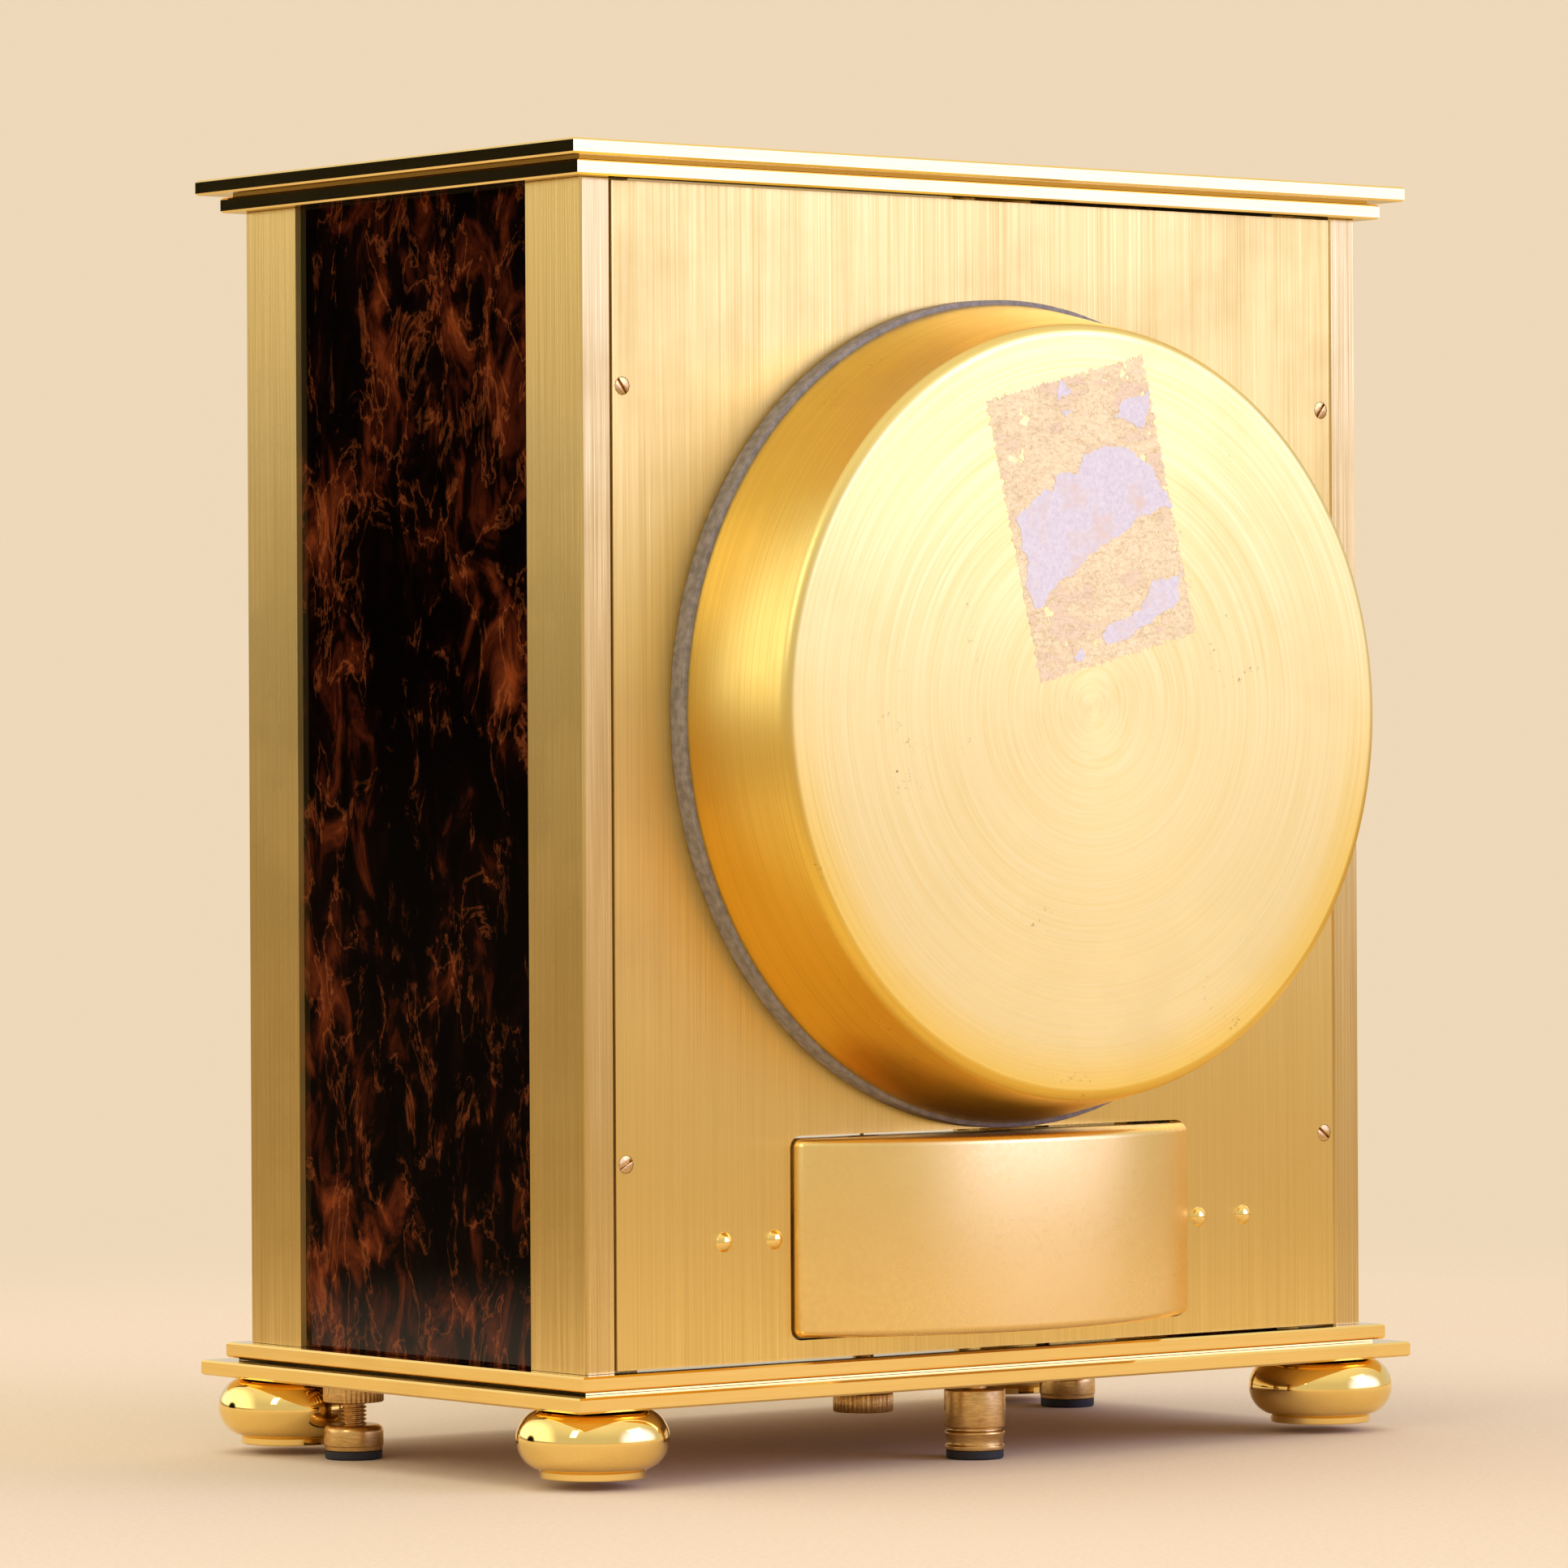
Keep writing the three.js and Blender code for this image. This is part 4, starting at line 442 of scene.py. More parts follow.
# Rear foot. A brass spacer under the base and a cap of the same size below it, with a groove between
# them, on one stem that is screwed into the base. Its rubber pad is the third that the clock stands on.
at = middle_of("rear_foot")
rear_brass = aged_brass("aged_brass_rear", (at.x, at.y, 0))
rear_profile = [(0, 1.55), (5.0, 1.55), (5.2, 1.75), (5.2, 2.3), (4.98, 2.6), (4.95, 3.4),
                *arc(4.8, 4.5, 0.45, -30, 90, 8), (4.6, 5.0), (4.6, 5.5), (5.1, 5.5), (5.35, 5.75),
                (5.35, 11.95), (5.1, 12.2), (2.05, 12.2), (2.05, 15.85), (0, 15.85)]
make_piece("turned_rear_foot", set_down(turned(rear_profile, 72, rounding=0.06), at.x, at.y, 0), rear_brass,
           "aged_brass", "case", "rear_foot")
make_piece("rubber_pad_rear", set_down(turned(pad_profile, 48), at.x, at.y, 0), black_rubber, "black_rubber",
           "case", "rear_foot_pad")

# Balance lock. A knurled brass knob under the base, on a screw that lifts a round clamp to the balance's
# hub while the clock is carried.
at = middle_of("balance_lock_knob")
lock_brass = aged_brass("aged_brass_lock", (at.x, at.y, 0))
lock_screw = turned([(0, 9.2), (1.9, 9.2), (1.9, 27.35), (0, 27.35)], 32)
knob = assemble(knurled(5.35, 0.16, 40, 6.2, 9.5), lock_screw, threaded(1.5, 1.9, 1.0, 12.0, 26.5, 20))
make_piece("knurled_lock_knob", set_down(knob, at.x, at.y, 0), lock_brass, "aged_brass", "lock_knob",
           "balance_lock_knob")
clamp_profile = [(0, 27.4), (7.0, 27.4), (8.0, 28.4), (8.0, 29.25), (7.7, 29.55), (0, 29.55)]
clamp = turned(clamp_profile, 72, rounding=0.1)
make_piece("lock_clamp", set_down(clamp, at.x, at.y, 0), lock_brass, "aged_brass", "lock_pad",
           "balance_lock_pad")

# Corner posts. Drawn brass bars, linished upright on both outer faces with a coarse belt and lacquered.
post_brass = metal("linished_post", (0.92, 0.68, 0.27), (0.64, 0.43, 0.13), 0.30, (4200, 4200, 22),
                   contrast=1.2, groove=0.22, stain=0.12, brushed=0.95)
dress(post_brass, "front_post_left", "front_post_right", "back_post_left", "back_post_right")


# Side panels. Thin board with a dark burr pattern, rust-coloured clouds that run upright through near
# black, under thick polished lacquer.
def off_centre(tree, value):
    """How far a noise is from its middle, which is nothing along thin crooked lines."""
    apart = add_node(tree, "Math", {0: value, 1: 0.5}, operation="SUBTRACT").outputs[0]
    return add_node(tree, "Math", {0: apart}, operation="ABSOLUTE").outputs[0]


burr, tree, surface, spot = start_material("burr_lacquer", Roughness=0.30, Specular_IOR_Level=0.0,
                                           Coat_Weight=0.5, Coat_Roughness=0.012)
grown = add_node(tree, "Mapping", {"Vector": spot, "Scale": (60, 72, 40),
                                   "Rotation": (radians(14), 0, 0)}).outputs[0]
patch = speckle(tree, grown, 0.50, 2.0, 0.5, 0.5)
flow = speckle(tree, grown, 1.6, 8.0, 0.62, 0.9)
cloudy = sum_of(tree, patch, 0.7, flow)
rust = add_node(tree, "ValToRGB", {0: ramp(tree, cloudy, 0.74, 1.12)})
rust.color_ramp.elements[0].color = (0.0012, 0.0005, 0.0004, 1)
rust.color_ramp.elements[1].color = (0.22, 0.042, 0.009, 1)
for place, colour in ((0.30, (0.004, 0.0012, 0.0008, 1)), (0.50, (0.035, 0.006, 0.002, 1)),
                      (0.72, (0.09, 0.018, 0.005, 1))):
    rust.color_ramp.elements.new(place).color = colour
crack = off_centre(tree, speckle(tree, grown, 1.3, 8.0, 0.6, 0.7))
vein = times(tree, ramp(tree, crack, 0.0, 0.02, 1.0, 0.0), ramp(tree, cloudy, 0.74, 1.02))
tree.links.new(mixed(tree, vein, rust.outputs[0], (0.22, 0.055, 0.015)), surface.inputs["Base Color"])
dress(burr, "side_panel_left", "side_panel_right")

# Movement frame. Two rolled brass plates on four pillars, satin gilt, between two side stands, with blued
# screws into the pillars. The bridge across the stands carries the return spring and the chain's roller.
gilt_plate = metal("satin_gilt_plate", (0.92, 0.74, 0.42), (0.74, 0.55, 0.26), 0.26, (2600, 2600, 40),
                   groove=0.08, contrast=0.6, stain=0.1)
dress(gilt_plate, "movement_front_plate", "movement_back_plate", "movement_stand_left",
      "movement_stand_right")
bridge_brass = metal("sawn_bridge_brass", (0.78, 0.56, 0.26), (0.52, 0.34, 0.13), 0.30, (40, 2600, 2600),
                     groove=0.12, stain=0.4)
dress(bridge_brass, "spring_bridge", "suspension_bracket")
blued_steel = metal("blued_steel", (0.05, 0.09, 0.24), (0.025, 0.05, 0.15), 0.16, (3000, 3000, 3000),
                    groove=0.03, stain=0.2, stain_colour=(0.12, 0.06, 0.10))
bright_steel = metal("ground_steel", (0.66, 0.67, 0.69), (0.44, 0.45, 0.47), 0.20, (2500, 2500, 60),
                     groove=0.08, stain=0.15, stain_colour=(0.30, 0.26, 0.22))
towards_back = Matrix.Rotation(radians(-90), 4, "X")
towards_front = Matrix.Rotation(radians(90), 4, "X")


def slotted_head(radius, height, slot_width, slot_depth, rounding, shank=None):
    """A cheese-head screw, its head up: a turned base and two half discs with the slot between them."""
    halves, overlap = [], 0.05
    for side in (1, -1):
        half = bmesh.new()
        bmesh.ops.create_circle(half, cap_ends=True, segments=48, radius=radius * mm)
        bmesh.ops.bisect_plane(half, geom=half.verts[:] + half.edges[:] + half.faces[:], clear_inner=True,
                               plane_co=(side * slot_width / 2 * mm, 0, 0), plane_no=(side, 0, 0))
        pull_up(half, slot_depth + overlap)
        round_edges(half, rounding, segments=2)
        halves.append(set_down(half, 0, 0, (-slot_depth - overlap) * mm))
    stem, length = shank or (radius * 0.5, height + 0.5)
    base = turned([(0, -length), (stem, -length), (stem, -height), (radius, -height), (radius, -slot_depth),
                   (0, -slot_depth)], 48)
    return assemble(base, *halves)


low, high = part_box("movement_front_plate")
heads, from_edge, head_height = [], 6 * mm, 1.0
for x in (low.x + from_edge, high.x - from_edge):
    for z in (low.z + from_edge, high.z - from_edge):
        head = slotted_head(2.6, head_height, 0.5, 0.5, 0.12)
        driven = towards_front @ Matrix.Rotation(x * 40 + z * 9, 4, "Z")
        heads.append(set_down(head, x, low.y - head_height * mm, z, driven))
make_piece("pillar_screws", assemble(*heads), blued_steel, "steel", "case")

# Going train and motion work. Wheels cut in brass and gilt, turned bright on their faces, on steel arbors.
for node in ("centre_wheel", "mainspring_barrel", "escape_wheel", "minute_wheel", "hour_wheel"):
    dress(metal("turned_" + node, (0.95, 0.76, 0.40), (0.70, 0.50, 0.20), 0.20, (2200, 2200, 1.2),
                centre=tuple(middle_of(node)), axis="Y", groove=0.1, contrast=0.9, stain=0.1), node)
dress(bright_steel, "pallet_fork", "chain_roller")


# Dial. A narrow gilt ring, turned on its face and silvered, stands on four feet, with twelve plain gold
# bars riveted on for the hours and a fine printed ring of minutes. The middle is open.
def block(width, depth, height, rounding=0.0, segments=2):
    """A bar sawn to size, in millimetres, with its edges broken where it has a rounding."""
    shape = bmesh.new()
    bmesh.ops.create_cube(shape, size=1.0, matrix=Matrix.Diagonal((width * mm, depth * mm, height * mm, 1)))
    if rounding:
        round_edges(shape, rounding, segments)
    return shape


at = middle_of("dial_ring")
low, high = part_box("dial_ring")
dial_front, dial_back = low.y + 0.6 * mm, low.y + 1.8 * mm
silvered = metal("silvered_dial", (0.93, 0.89, 0.78), (0.84, 0.79, 0.66), 0.32, (1400, 1400, 1.0),
                 centre=tuple(at), axis="Y", groove=0.06, contrast=0.6, stain=0.06)
ring = turned([(33.0, 0), (50.0, 0), (50.0, 1.35), (49.75, 1.5), (49.0, 1.5), (48.8, 1.2), (34.2, 1.2),
               (34.0, 1.5), (33.25, 1.5), (33.0, 1.35), (33.0, 0)], 192, rounding=0.04)
posts, bar_ring, minute_ring = [], 41.5 * mm, 47.7 * mm
for angle in (45, 135, 225, 315):
    post = turned([(0, -4.3), (1.5, -4.3), (1.5, 0.4), (0, 0.4)], 24)
    posts.append(set_down(post, bar_ring * cos(radians(angle)), -bar_ring * sin(radians(angle)), 0))
make_piece("dial_plate", set_down(assemble(ring, *posts), at.x, dial_back, at.z, towards_front), silvered,
           "pale_gilt", "case", "dial_ring")
bars, bar_level = [], dial_front - 0.13 * mm
for hour in range(12):
    bar = set_down(block(3.0 if hour % 3 == 0 else 1.8, 0.9, 9, rounding=0.32), 0, 0, bar_ring)
    bars.append(set_down(bar, at.x, bar_level, at.z, Matrix.Rotation(radians(30 * hour), 4, "Y")))
make_piece("hour_bars", assemble(*bars), mirror_brass, "polished_brass", "case")
minute_ink = rubber("dial_ink", (0.030, 0.026, 0.024), 3000.0)
ticks = []
for minute in range(60):
    tick = set_down(block(0.5 if minute % 5 == 0 else 0.22, 0.06, 1.3), 0, 0, minute_ring)
    ticks.append(set_down(tick, at.x, dial_front, at.z, Matrix.Rotation(radians(6 * minute), 4, "Y")))
make_piece("minute_ticks", assemble(*ticks), minute_ink, "pale_gilt", "case")


# Hands. Two steel hands with a ridge down the middle and polished facets, on the pipe of the hour wheel
# and on the centre arbor, which a small brass nut closes.
def hand(length, width, post, thickness=0.7, edge=0.35):
    """One hand, pointing up: half of its facets, mirrored, given a back, with a ring for its post."""
    shape = bmesh.new()
    middle = [shape.verts.new((0, -thickness * mm, z * mm)) for z in (-8, 0, 0.55 * length)]
    rim = [shape.verts.new((x * mm, -edge * mm, z * mm))
           for x, z in ((width / 2, -8), (width / 4, 0), (width / 2, 0.55 * length))]
    tip = shape.verts.new((0, -edge * mm, length * mm))
    for step in range(2):
        shape.faces.new((middle[step], rim[step], rim[step + 1], middle[step + 1]))
    shape.faces.new((middle[2], rim[2], tip))
    bmesh.ops.mirror(shape, geom=shape.verts[:] + shape.edges[:] + shape.faces[:], axis="X", merge_dist=1e-6)
    border = [edge for edge in shape.edges if edge.is_boundary]
    pulled = bmesh.ops.extrude_edge_only(shape, edges=border)["geom"]
    for vertex in (item for item in pulled if isinstance(item, bmesh.types.BMVert)):
        vertex.co.y = 0
    bmesh.ops.remove_doubles(shape, verts=shape.verts, dist=1e-7)
    bmesh.ops.holes_fill(shape, edges=[edge for edge in shape.edges if edge.is_boundary], sides=0)
    face_outwards(shape)
    eye = turned([(post + 0.15, 0), (post + 1.9, 0), (post + 1.9, 0.5), (post + 1.7, 0.7), (post + 0.35, 0.7),
                  (post + 0.15, 0.5), (post + 0.15, 0)], 64)
    return assemble(shape, set_down(eye, 0, 0, 0, towards_front))


dial_middle = at.copy()
for node, length, width, post, clock_angle in (("hour_hand", 33, 4, 2.6, 305),
                                               ("minute_hand", 45, 3, 1.5, 60)):
    turn = Matrix.Rotation(radians(clock_angle), 4, "Y")
    blade = set_down(hand(length, width, post), dial_middle.x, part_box(node)[1].y, dial_middle.z, turn)
    make_piece("facetted_" + node, blade, bright_steel, "steel", node, node, sharp=8)
nut = turned([(0, 0), (2.4, 0), (2.4, 1.0), (2.0, 1.55), (1.2, 1.7), (0, 1.7)], 6)
set_down(nut, dial_middle.x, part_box("hand_nut")[1].y, dial_middle.z, towards_front)
make_piece("hand_nut_cap", nut, mirror_brass, "polished_brass", "minute_hand", "hand_nut", sharp=20)

# Balance. A heavy gilt ring on three spokes, hung by its staff on a fine alloy wire, so that it turns once
# to and fro in a minute. Its rim is turned with two fine lines and its edges are polished.
at = middle_of("balance")
low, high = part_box("balance")
rim_gilt = metal("turned_balance", (0.96, 0.76, 0.38), (0.76, 0.55, 0.23), 0.17, (2400, 2400, 1.0),
                 centre=tuple(at), axis="Z", groove=0.08, contrast=0.8, stain=0.08)
rim_profile = [(43.2, 4.0), (48.5, 4.0), (48.5, 13.0), (47.6, 13.0), (47.5, 12.8), (47.3, 12.8), (47.2, 13.0),
               (44.6, 13.0), (44.5, 12.8), (44.3, 12.8), (44.2, 13.0), (43.2, 13.0), (43.2, 4.0)]
hub_profile = [(0, 0), (5.6, 0), (6.0, 0.4), (6.0, 13.4), (5.4, 14.0), (2.6, 14.0), (1.6, 14.6), (1.6, 20.6),
               (1.2, 21.0), (0, 21.0)]
spokes = []
for angle in (90, 210, 330):
    spoke = set_down(block(40, 5, 2.6, rounding=0.4, segments=3), 25 * mm, 0, 8.5 * mm)
    spokes.append(set_down(spoke, 0, 0, 0, Matrix.Rotation(radians(angle), 4, "Z")))
wheel = assemble(turned(rim_profile, 192, rounding=0.12), turned(hub_profile, 64, rounding=0.1), *spokes)
make_piece("balance_wheel", set_down(wheel, at.x, at.y, low.z), rim_gilt, "pale_gilt", "balance", "balance")
low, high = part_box("torsion_wire")
wire = turned([(0, low.z / mm), (0.35, low.z / mm), (0.35, high.z / mm), (0, high.z / mm)], 16)
make_piece("suspension_wire", set_down(wire, at.x, at.y, 0), bright_steel, "steel", "balance", "torsion_wire")


# Bellows. A drum of thin brass pressed into five folds, full of gas, that fills and shrinks as the room
# warms and cools. Its moving end plate has a boss for the chain and rests against the return spring.
def behind(shape, level):
    """Lays a turned shape on the axis of the round drum, facing backwards, from a level of Y."""
    return set_down(shape, drum_middle.x, level, drum_middle.z, towards_back)


drum_middle = middle_of("drum_cover")
low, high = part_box("bellows")
fold_metal = metal("pressed_bellows", (0.86, 0.63, 0.28), (0.62, 0.41, 0.15), 0.24, (900, 2600, 1.5),
                   centre=tuple(drum_middle), axis="Y", groove=0.08, stain=0.3)
fold_profile = [(0, 0), (54.5, 0)]
for fold in range(5):
    start = 7.0 * fold
    fold_profile += arc(55.0, start + 0.5, 1.0, -60 if fold == 0 else -75, 75, 6)
    fold_profile += arc(51.0, start + 3.5, 1.0, 255, 105, 6)
fold_profile += [*arc(55.0, 34.3, 0.7, -75, 90, 6), (6.0, 35.0), (0, 35.0)]
make_piece("bellows_folds", behind(turned(fold_profile, 144), low.y), fold_metal, "satin_brass",
           "bellows_plate", "bellows", spans=("case", low.y, high.y))
plate_profile = [(0, 0), (4.6, 0), (5.0, 0.4), (5.0, 3.0), (8.0, 3.02), (54.9, 3.02), (56.0, 4.1),
                 (56.0, 6.0), (0, 6.0)]
make_piece("moving_plate", behind(turned(plate_profile, 144, rounding=0.15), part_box("bellows_plate")[0].y),
           fold_metal, "pale_gilt", "bellows_plate", "bellows_plate")

# Return spring. Spring steel wire wound cold in four turns, between the bridge and the moving plate.
low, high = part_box("return_spring")
coils, wire_radius = 4, 0.7 * mm
coil_steps = 56 * coils
coil = bmesh.new()
bmesh.ops.create_circle(coil, cap_ends=False, segments=12, radius=wire_radius)
set_down(coil, 14 * mm, 0, 0)
coil_rise = (high.y - low.y - 2 * wire_radius) / coil_steps
bmesh.ops.spin(coil, geom=coil.verts[:] + coil.edges[:], cent=(0, 0, 0), axis=(0, 1, 0),
               angle=-2 * pi * coils, steps=coil_steps, dvec=(0, coil_rise, 0))
bmesh.ops.remove_doubles(coil, verts=coil.verts, dist=1e-7)
bmesh.ops.holes_fill(coil, edges=[edge for edge in coil.edges if edge.is_boundary], sides=0)
face_outwards(coil)
set_down(coil, drum_middle.x, low.y + wire_radius, drum_middle.z)
make_piece("wound_spring", coil, bright_steel, "steel", "case", "return_spring",
           spans=("bellows_plate", low.y, high.y))

# Winding chain. A fine steel link chain from the moving plate's boss, round the roller on the bridge, to
# the small flanged drum on the barrel's arbor, which it turns as the bellows moves.
low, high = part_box("winding_chain")
chain_turn, link_pitch = 3.3 * mm, 1.35 * mm
chain_plane = low.y + 0.52 * mm
turn_x, turn_y = drum_middle.x - chain_turn, chain_plane + chain_turn
route = [(Vector((drum_middle.x, high.y - 0.75 * mm - step * link_pitch, drum_middle.z)), pi / 2)
         for step in range(int((high.y - turn_y) / link_pitch))]
for angle in (radians(-10), radians(-33), radians(-56), radians(-79)):
    bent = Vector((turn_x + chain_turn * cos(angle), turn_y + chain_turn * sin(angle), drum_middle.z))
    route.append((bent, angle + pi / 2))
route += [(Vector((turn_x - step * link_pitch, chain_plane, drum_middle.z)), 0)
          for step in range(int((turn_x - low.x) / link_pitch) + 1)]
links = []
for number, (place, heading) in enumerate(route):
    link = bmesh.new()
    bmesh.ops.create_circle(link, cap_ends=False, segments=6, radius=0.19 * mm,
                            matrix=Matrix.Rotation(pi / 2, 4, "X"))
    set_down(link, 0.4 * mm, 0, 0)
    bmesh.ops.spin(link, geom=link.verts[:] + link.edges[:], cent=(0, 0, 0), axis=(0, 0, 1), angle=2 * pi,
                   steps=14, use_merge=True)
    bmesh.ops.remove_doubles(link, verts=link.verts, dist=1e-8)
    bmesh.ops.scale(link, vec=(1.75, 1, 1), verts=link.verts)
    face_outwards(link)
    rolled = Matrix.Rotation(radians(90 if number % 2 else 0), 4, "X")
    links.append(set_down(link, *place, Matrix.Rotation(heading, 4, "Z") @ rolled))
make_piece("link_chain", assemble(*links), bright_steel, "steel", "case", "winding_chain",
           spans=("bellows_plate", turn_y, high.y - 1.5 * mm))
at = middle_of("winding_drum")
spool_profile = [(1.85, 0), (7.8, 0), (7.8, 0.8), (5.7, 0.8), (5.7, 4.0), (7.8, 4.0), (7.8, 4.8), (1.85, 4.8),
                 (1.85, 0)]
spool = turned(spool_profile, 72, rounding=0.12)
set_down(spool, at.x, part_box("winding_drum")[0].y, at.z, towards_back)
make_piece("chain_spool", spool, bridge_brass, "aged_brass", "winding_drum", "winding_drum")

# Back panel. Rolled brass plate, linished upright and lacquered, with faint scratches. Four polished
# rivets hold the tabs of the balance cover from outside.
panel_brass = metal("linished_panel", (0.98, 0.72, 0.235), (0.80, 0.54, 0.14), 0.32, (3400, 3400, 16),
                    contrast=0.9, groove=0.14, stain=0.22, stain_size=0.035, brushed=0.95)
dress(panel_brass, "back_panel")
panel_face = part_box("back_panel")[1].y - 0.9 * mm
cover_middle = middle_of("balance_cover")
cover_x, cover_half = cover_middle.x, 44.2 * mm
dome_profile = [(0, -0.4), (1.72, -0.4), (1.72, 0.02), *arc(0, -1.05, 2.0, 33, 90, 12)[:-1], (0, 0.95)]
domes = []
for side, past_edge in ((-1, 14.25), (-1, 3.7), (1, 4.0), (1, 14.9)):
    x = cover_x + side * (cover_half + past_edge * mm)
    domes.append(set_down(turned(dome_profile, 48), x, panel_face, cover_middle.z, towards_back))
make_piece("rivet_domes", assemble(*domes), mirror_brass, "satin_brass", "case")

# Panel screws. Small slotted brass screws with flat heads, let into the panel's face and browned in
# their slots, one near each corner.
for number, slot_angle in enumerate((0.5, 2.2, 2.5, 0.9), start=1):
    node = "panel_screw_" + str(number)
    at = middle_of(node)
    screw = slotted_head(1.475, 1.5, 0.42, 0.55, 0.10, shank=(0.85, 4.98))
    turn = Matrix.Rotation(slot_angle + pi / 2, 4, "Y") @ towards_back
    set_down(screw, at.x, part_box(node)[1].y, at.z, turn)
    screw_brass = aged_brass("aged_brass_" + node, tuple(at))
    make_piece("slotted_" + node, screw, screw_brass, "aged_brass", "case", node)

# Gasket. A ring cut from grey rubber sheet with a knife, so that its edge wavers a little, pressed
# between the panel and the rim of the round cover.
grey_rubber = rubber("grey_sheet_rubber", (0.34, 0.30, 0.27), 700.0)
gasket = turned([(66.5, 0), (71.9, 0), (72.0, 0.3), (72.0, 1.7), (71.95, 3.3), (71.8, 3.5), (66.5, 3.5),
                 (66.5, 0)], 360)
for vertex in gasket.verts:
    across = Vector((vertex.co.x, vertex.co.y, 0))
    if across.length > 70 * mm:
        slip = noise.noise(vertex.co * 700) * 0.10 + noise.noise(vertex.co * 180) * 0.16
        vertex.co -= across.normalized() * max(0.0, slip) * mm
make_piece("cut_gasket", behind(gasket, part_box("drum_gasket")[0].y), grey_rubber, "grey_rubber", "case",
           "drum_gasket")

# Round cover of the bellows. Brass sheet spun over a former into a deep lid that narrows to a round
# shoulder, and skimmed on the lathe, which left fine rings on its face. Its wall carries a painted amber
# reflection, strongest towards the bottom, for the warm light the brass panel throws back on it.
low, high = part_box("drum_cover")
label_room = 0.12
cover_depth = (high.y - low.y) / mm - label_room
spun_brass = metal("spun_cover", (0.93, 0.735, 0.265), (0.80, 0.59, 0.17), 0.33, (1700, 2600, 0.9),
                   centre=(drum_middle.x - 0.55 * mm, drum_middle.y, drum_middle.z + 1.1 * mm), axis="Y",
                   contrast=1.0, groove=0.14, stain=0.2, stain_size=0.03, brushed=0.3)
tree = spun_brass.node_tree
surface = tree.nodes["Principled BSDF"]
spot = add_node(tree, "TexCoord").outputs["Object"]
arm = vector_math(tree, "MULTIPLY", vector_math(tree, "SUBTRACT", spot, tuple(drum_middle)), (1, 0, 1))
# Painted reflection: an amber tint on the wall and shoulder, strongest towards the bottom, stands in for
# light thrown back by the brass panel.
on_wall = ramp(tree, vector_math(tree, "LENGTH", arm), 54 * mm, 67.5 * mm, 0.0, 1.0, True)
towards_bottom = ramp(tree, add_node(tree, "SeparateXYZ", {0: spot}).outputs["Z"], drum_middle.z - 32 * mm,
                drum_middle.z + 16 * mm, 1.0, 0.0, True)
reflection_tint = mixed(tree, times(tree, on_wall, towards_bottom), (1, 1, 1), (1.0, 0.84, 0.36))
reflection_tinted = mixed(tree, 1.0, surface.inputs["Base Color"].links[0].from_socket, reflection_tint, "MULTIPLY")
pits = speckle(tree, spot, 1100.0, 4.0, 0.7)
groups = speckle(tree, spot, 70.0, 4.0, 0.65)
pitted = times(tree, ramp(tree, pits, 0.60, 0.66), ramp(tree, groups, 0.62, 0.70))
tree.links.new(mixed(tree, pitted, reflection_tinted, (0.30, 0.17, 0.045)), surface.inputs["Base Color"])
shoulder, face_radius, draft, sheet = 2.3, 64.6, 12.5, 1.2
lid_profile = [(69.9, 0), (71.1, 0), (71.05, 0.3),
               *arc(face_radius, cover_depth - shoulder, shoulder, draft, 90, 16),
               (0, cover_depth), (0, cover_depth - sheet),
               *arc(face_radius, cover_depth - shoulder, shoulder - sheet, 90, draft, 8), (69.9, 0)]
make_piece("spun_lid", behind(turned(lid_profile, 256), low.y), spun_brass, "satin_brass", "case",
           "drum_cover")
face_level = low.y + cover_depth * mm


# What is left of a paper label on the round cover: a film of old glue, crinkled and yellow, with bare
# peach patches, and a few torn scraps of blank lavender paper on it.
def waver(x, y, z):
    return noise.noise(Vector((x, y, z)))


def ragged(value, size, seed):
    """How far a torn edge strays at a place along it, in millimetres."""
    return size * (waver(value * 0.9, seed, 0) + 0.6 * waver(value * 3.1, seed, 5))


film_turn = radians(14)
film_width, film_height = 37.6, 50.6
film = bmesh.new()
bmesh.ops.create_grid(film, x_segments=150, y_segments=202, size=0.5 * mm,
                      matrix=Matrix.Diagonal((film_width, film_height, 1, 1)))
lost, margin, stray, worn_from, worn_rim = [], 0.7, 0.8, 0.62, 6
for face in film.faces:
    x, y = face.calc_center_median().xy / mm
    from_side = film_width / 2 - margin - abs(x) + ragged(y, stray, 1.0 + (x > 0))
    from_end = film_height / 2 - margin - abs(y) + ragged(x, stray, 3.0 + (y > 0))
    bare = noise.fractal(Vector((x, y, 0)) * 0.33, 0.8, 2.1, 5)
    if from_side < 0 or from_end < 0 or (bare > worn_from and min(from_side, from_end) < worn_rim):
        lost.append(face)
bmesh.ops.delete(film, geom=lost, context="FACES")
for vertex in film.verts:
    x, y = vertex.co.xy / mm
    crinkle = abs(waver(x * 0.9, y * 1.6, 2)) + 0.5 * abs(waver(x * 2.6, y * 3.2, 4))
    vertex.co.z = (0.025 + 0.05 * min(crinkle, 0.9)) * mm
skirt = bmesh.ops.extrude_face_region(film, geom=film.faces[:])["geom"]
for vertex in (item for item in skirt if isinstance(item, bmesh.types.BMVert)):
    vertex.co.z = -0.01 * mm
face_outwards(film)
glue, tree, surface, spot = start_material("old_glue", Specular_IOR_Level=0.35)
worn = add_node(tree, "Mapping", {"Vector": spot, "Scale": (1, 1, 1.6),
                                  "Rotation": (0, film_turn, 0)}).outputs[0]
bare = speckle(tree, worn, 95.0, 6.0, 0.6, 0.6)
crumbs = speckle(tree, worn, 900.0, 5.0, 0.75)
crinkle = off_centre(tree, speckle(tree, worn, 330.0, 4.0, 0.6, 1.0))
gold = mixed(tree, ramp(tree, crumbs, 0.30, 0.58), (0.74, 0.52, 0.20), (0.97, 0.82, 0.47))
peach = mixed(tree, ramp(tree, crumbs, 0.3, 0.7), (0.88, 0.64, 0.38), (0.96, 0.78, 0.52))
